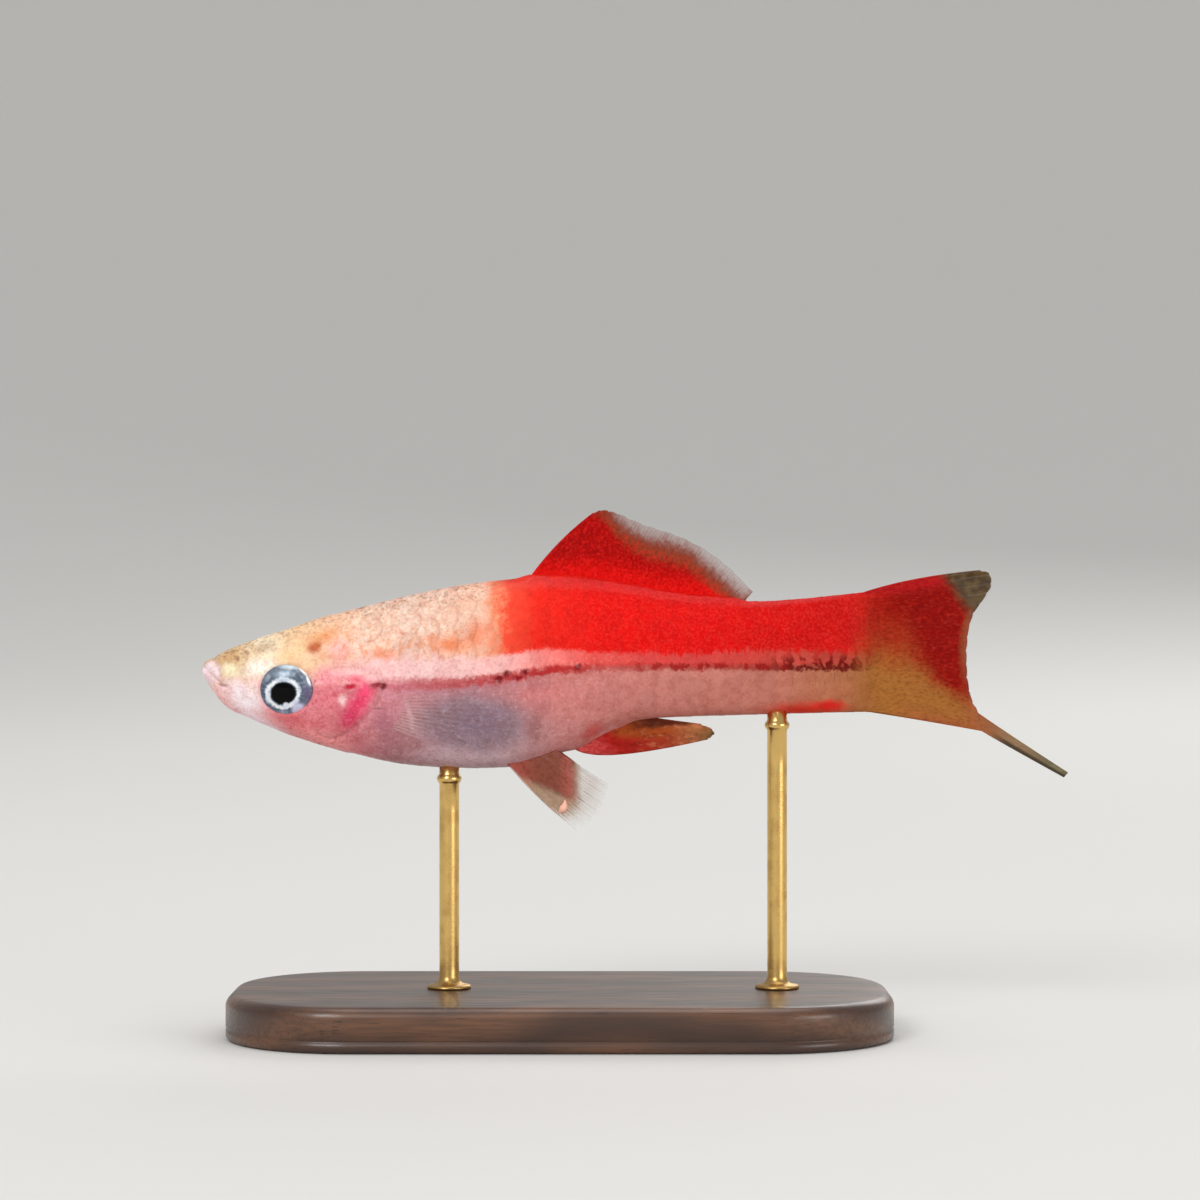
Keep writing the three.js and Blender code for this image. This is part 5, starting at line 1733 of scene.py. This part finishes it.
for side_name, side in {"left": -1, "right": 1}.items():
    name = f"pelvic_fin_{side_name}"
    finish_fin(
        name, name, pelvic_surface(side), pelvic_look, "clear_fin",
        {"rays": 7, "rows": 32, "notch": 0.06, "thick": (0.25, 0.05)},
        {"count": 7, "forks": (0.45, 0.72), "radius": (0.16, 0.04), "plain": (0,),
         "club": ((0.36, 0.03), (0.6, 0.735), 0.4)},
        web_alpha=(0.02, 0.88), ray_alpha=(0.06, 1.0), ray_shade=(0.12, 208, 150, 128), joints=16.0,
    )
    name = f"pectoral_fin_{side_name}"
    finish_fin(
        name, name, pectoral_surface(side), pectoral_look, "clear_fin",
        {"rays": 13, "rows": 36, "notch": 0.02, "thick": (0.12, 0.04)},
        {"count": 13, "forks": (0.5, 0.76), "radius": (0.07, 0.025), "plain": (0, 12)},
        web_alpha=(0.02, 0.05), ray_alpha=(0.05, 0.22), ray_shade=(0.4, 232, 206, 206), joints=20.0,
    )

# %% [markdown]
# ## The stand
# The fish swims free, so a stand was added to hold it: two brass rods on a base of dark wood. The
# base is a rounded board with a soft upper edge, drawn as rings of points that step inwards over
# the edge. The rods are turned on a lathe, so each is one profile spun round its axis.

# %% Base shape
BASE_LENGTH = 60.0
BASE_WIDTH = 30.0
BASE_CORNER = 11.7
BASE_EDGE = 1.0
GROOVE_AT = 1.05
CORNER_STEPS = 16


def board_ring(inset, z):
    """One ring round the board, a distance in from its outline, in metres."""
    corner = BASE_CORNER - inset
    quarter = np.linspace(0, math.pi / 2, CORNER_STEPS)
    ring = []
    for n, (x, y) in enumerate([(1, 1), (-1, 1), (-1, -1), (1, -1)]):
        angle = quarter + n * math.pi / 2
        middle_x, middle_y = x * (BASE_LENGTH / 2 - BASE_CORNER), y * (BASE_WIDTH / 2 - BASE_CORNER)
        ring.append(np.stack([middle_x + corner * np.cos(angle), middle_y + corner * np.sin(angle)], 1))
    flat = np.vstack(ring)
    return np.column_stack([flat, np.full(len(flat), z)]) * MM


def stand_board():
    """The wooden base: rings up its side, over a rounded edge and in over its top."""
    turn = np.linspace(0, math.pi / 2, 9)
    steps = [(0.5, 0.0), (0.16, 0.1), (0.0, 0.35), (0.0, GROOVE_AT - 0.16), (0.12, GROOVE_AT - 0.08)]
    steps += [(0.12, GROOVE_AT + 0.08), (0.0, GROOVE_AT + 0.16)]
    steps += [(BASE_EDGE * (1 - math.cos(a)), BASE_HEIGHT - BASE_EDGE * (1 - math.sin(a))) for a in turn]
    steps += [(inset, BASE_HEIGHT) for inset in (2.5, 5.0, 8.0, 10.5)]
    rings = [board_ring(inset, z) for inset, z in steps]
    around = len(rings[0])
    faces = [tuple(face[::-1]) for face in grid_faces(len(rings), around, wrap=True)]
    faces.append(range(around))
    faces.append(range((len(rings) - 1) * around, len(rings) * around))
    board = new_object("stand_board", np.vstack(rings), faces)
    face_out(board)
    return board


board = stand_board()
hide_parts("stand_base")
print("board faces", len(board.data.polygons))

# %% [markdown]
# ## Rods
# Each rod stands on a small turned foot and ends just inside the fish's flesh, above a low collar
# of brass.

# %% Rod shape
ROD_PLACES = {"stand_rod_front": 22.4, "stand_rod_rear": 52.2}
ROD_RADIUS = 0.9
FOOT = [
    (0, 0), (1.9, 0), (2.0, 0.08), (2.0, 0.24), (1.9, 0.34), (1.55, 0.4), (1.2, 0.52), (1.0, 0.75),
    (ROD_RADIUS, 1.1),
]
COLLAR = [(1.02, -1.25), (1.12, -1.05), (1.12, -0.85), (1.02, -0.65)]
ROD_SIDES = 40


def turned_rod(name, s):
    """A rod and its foot, from one profile turned round its axis."""
    top = float(belly(s))
    bottom = BASE_HEIGHT - SNOUT_HEIGHT
    profile = [(r, bottom + z) for r, z in FOOT]
    profile += [(ROD_RADIUS, z) for z in np.linspace(bottom + 2, top - 1.4, 8)]
    profile += [(r, top + z) for r, z in COLLAR]
    profile += [(ROD_RADIUS, top - 0.5), (ROD_RADIUS, top + 0.35), (0, top + 0.4)]
    around = math.tau * np.arange(ROD_SIDES) / ROD_SIDES
    circle = np.stack([np.cos(around), np.sin(around), 0 * around], 1)
    points = np.vstack([circle * r + (s, 0, h) for r, h in profile])
    rod = new_object(name, place(*points.T), grid_faces(len(profile), ROD_SIDES, wrap=True))
    work = bmesh.new()
    work.from_mesh(rod.data)
    bmesh.ops.remove_doubles(work, verts=work.verts, dist=1e-7)
    bmesh.ops.recalc_face_normals(work, faces=work.faces)
    work.to_mesh(rod.data)
    work.free()
    return rod


rods = {node: turned_rod("brass_" + node, s) for node, s in ROD_PLACES.items()}
for node, rod in rods.items():
    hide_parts(node)
print("rods", list(rods))

# %% [markdown]
# ## Wood and brass
# Walnut grain runs along the board: long, wavy bands of light and dark wood, with fine dark pores
# drawn out the same way. Thin wax gives a soft sheen. Brass is a metal, so its colour lies in its
# reflection. Fine rings from the lathe and a little tarnish near the foot keep it from looking new.

# %% Wood and brass finishes


def wood_material():
    """Dark waxed walnut."""
    material, tree = new_material("walnut")
    spot = fish_place(tree)
    bend = (noise(spot, 0.05, 2.0) - 0.5) * 9.0
    _, y, h = parts(spot)
    drift = (noise(spot, 0.16, 3.0, stretch=(0.25, 1, 1)) - 0.5) * 3
    rings = ((y * 0.55 + h * 0.9 + bend) * 1.4 + drift).wave()
    bands = ramp(rings, [(-1, (62, 37, 23)), (0, (84, 52, 32)), (1, (104, 67, 42))])
    fibre = noise(spot, 3.0, 4.0, stretch=(0.06, 1, 1))
    colour = mix(rise(fibre, 0.35, 0.7) * 0.5, bands, paint(52, 30, 19))
    pores = rise(noise(spot, 7.0, 2.0, stretch=(0.05, 1, 1)), 0.62, 0.72)
    colour = mix(pores * 0.7, colour, paint(30, 17, 11))
    rough = 0.34 + rise(fibre, 0.3, 0.8) * 0.12
    dress(tree, {
        "Base Color": colour, "Roughness": rough, "Coat Weight": 0.3, "Coat Roughness": 0.22,
    }, height=fibre * 0.5 - pores, depth=0.05)
    return material


def brass_material():
    """Turned brass, a little dulled."""
    material, tree = new_material("brass")
    spot = fish_place(tree)
    h = parts(spot)[2]
    dull = rise(noise(spot, 0.7, 3.0), 0.42, 0.7)
    low = rise(h + SNOUT_HEIGHT - BASE_HEIGHT, 3.0, 0.2)
    colour = mix(dull * 0.5, paint(222, 184, 112), paint(186, 146, 84))
    colour = mix(low * 0.45, colour, paint(120, 86, 50))
    rings = noise(together(tree, h * 14.0, 0.0), 1.0, 2.0)
    rough = 0.22 + dull * 0.12 + low * 0.12
    dress(tree, {"Base Color": colour, "Metallic": 1.0, "Roughness": rough}, height=rings, depth=0.03)
    return material


board.data.materials.append(wood_material())
brass = brass_material()
for rod in rods.values():
    rod.data.materials.append(brass)

# %% [markdown]
# ## Studio
# A plain pale dish stands for a photographer's paper sweep: a floor that curves up all round, so
# that no view shows a hard horizon. Large soft lamps light the fish from both sides in front, from
# above and, more weakly, from behind. Each has a place, a width in metres and a power in watts.

# %% Floor, lamps and world
BOWL = [(0, 0), (0.7, 0), (0.95, 0.02), (1.2, 0.09), (1.4, 0.22), (1.5, 0.36), (1.53, 0.46)]
BOWL_RINGS = 60
BOWL_SIDES = 96
FLAT_RADIUS = 0.5
SMOOTH_ROUNDS = 40
FLOOR_GAP = (0, 0, 2e-5)
LAMPS = {
    "key": ((-0.4, -0.8, 0.55), 0.35, 4.4),
    "fill": ((0.68, -0.62, 0.08), 0.5, 3.4),
    "top": ((0.05, 0.05, 0.95), 0.6, 2.8),
    "back": ((0.3, 0.75, 0.5), 0.5, 1.8),
}
AIM = Vector((0, 0, 0.034))


def stage_floor():
    """The pale floor and wall, turned from a smooth profile."""
    profile = np.array(BOWL)
    t = np.linspace(0, len(profile) - 1, BOWL_RINGS)
    curve = np.stack([np.interp(t, np.arange(len(profile)), profile[:, i]) for i in (0, 1)], axis=1)
    for _ in range(SMOOTH_ROUNDS):
        curve[1:-1] = (curve[:-2] + curve[2:] + 2 * curve[1:-1]) / 4
    curve[curve[:, 0] < FLAT_RADIUS, 1] = 0
    angle = math.tau * np.arange(BOWL_SIDES)[None] / BOWL_SIDES
    radius, height = curve.T[..., None]
    ring = np.broadcast_arrays(radius * np.cos(angle), radius * np.sin(angle), height)
    points = np.stack(ring, -1).reshape(-1, 3) - FLOOR_GAP
    faces = grid_faces(BOWL_RINGS, BOWL_SIDES, wrap=True)
    floor = new_object("studio_floor", points, faces, body=False)
    material, tree = new_material("studio_paper")
    dress(tree, {"Base Color": paint(218, 217, 214), "Roughness": 0.9})
    floor.data.materials.append(material)


def lamp(name, where, size, power):
    """A square soft lamp that points at the fish."""
    light = bpy.data.lights.new(name, "AREA")
    light.size, light.energy = size, power
    made = bpy.data.objects.new(name, light)
    made.location = where
    made.rotation_euler = (AIM - Vector(where)).to_track_quat("-Z", "Y").to_euler()
    bpy.context.scene.collection.objects.link(made)


stage_floor()
for name, (where, size, power) in LAMPS.items():
    lamp(name, where, size, power)
world = bpy.data.worlds.new("studio")
world.use_nodes = True
world.node_tree.nodes["Background"].inputs["Color"].default_value = (1.0, 1.0, 1.0, 1)
world.node_tree.nodes["Background"].inputs["Strength"].default_value = 0.5
bpy.context.scene.world = world
bpy.context.scene.view_settings.view_transform = "Standard"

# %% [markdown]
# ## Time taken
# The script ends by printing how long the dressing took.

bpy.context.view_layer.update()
print("seconds", round(time.time() - started, 1))
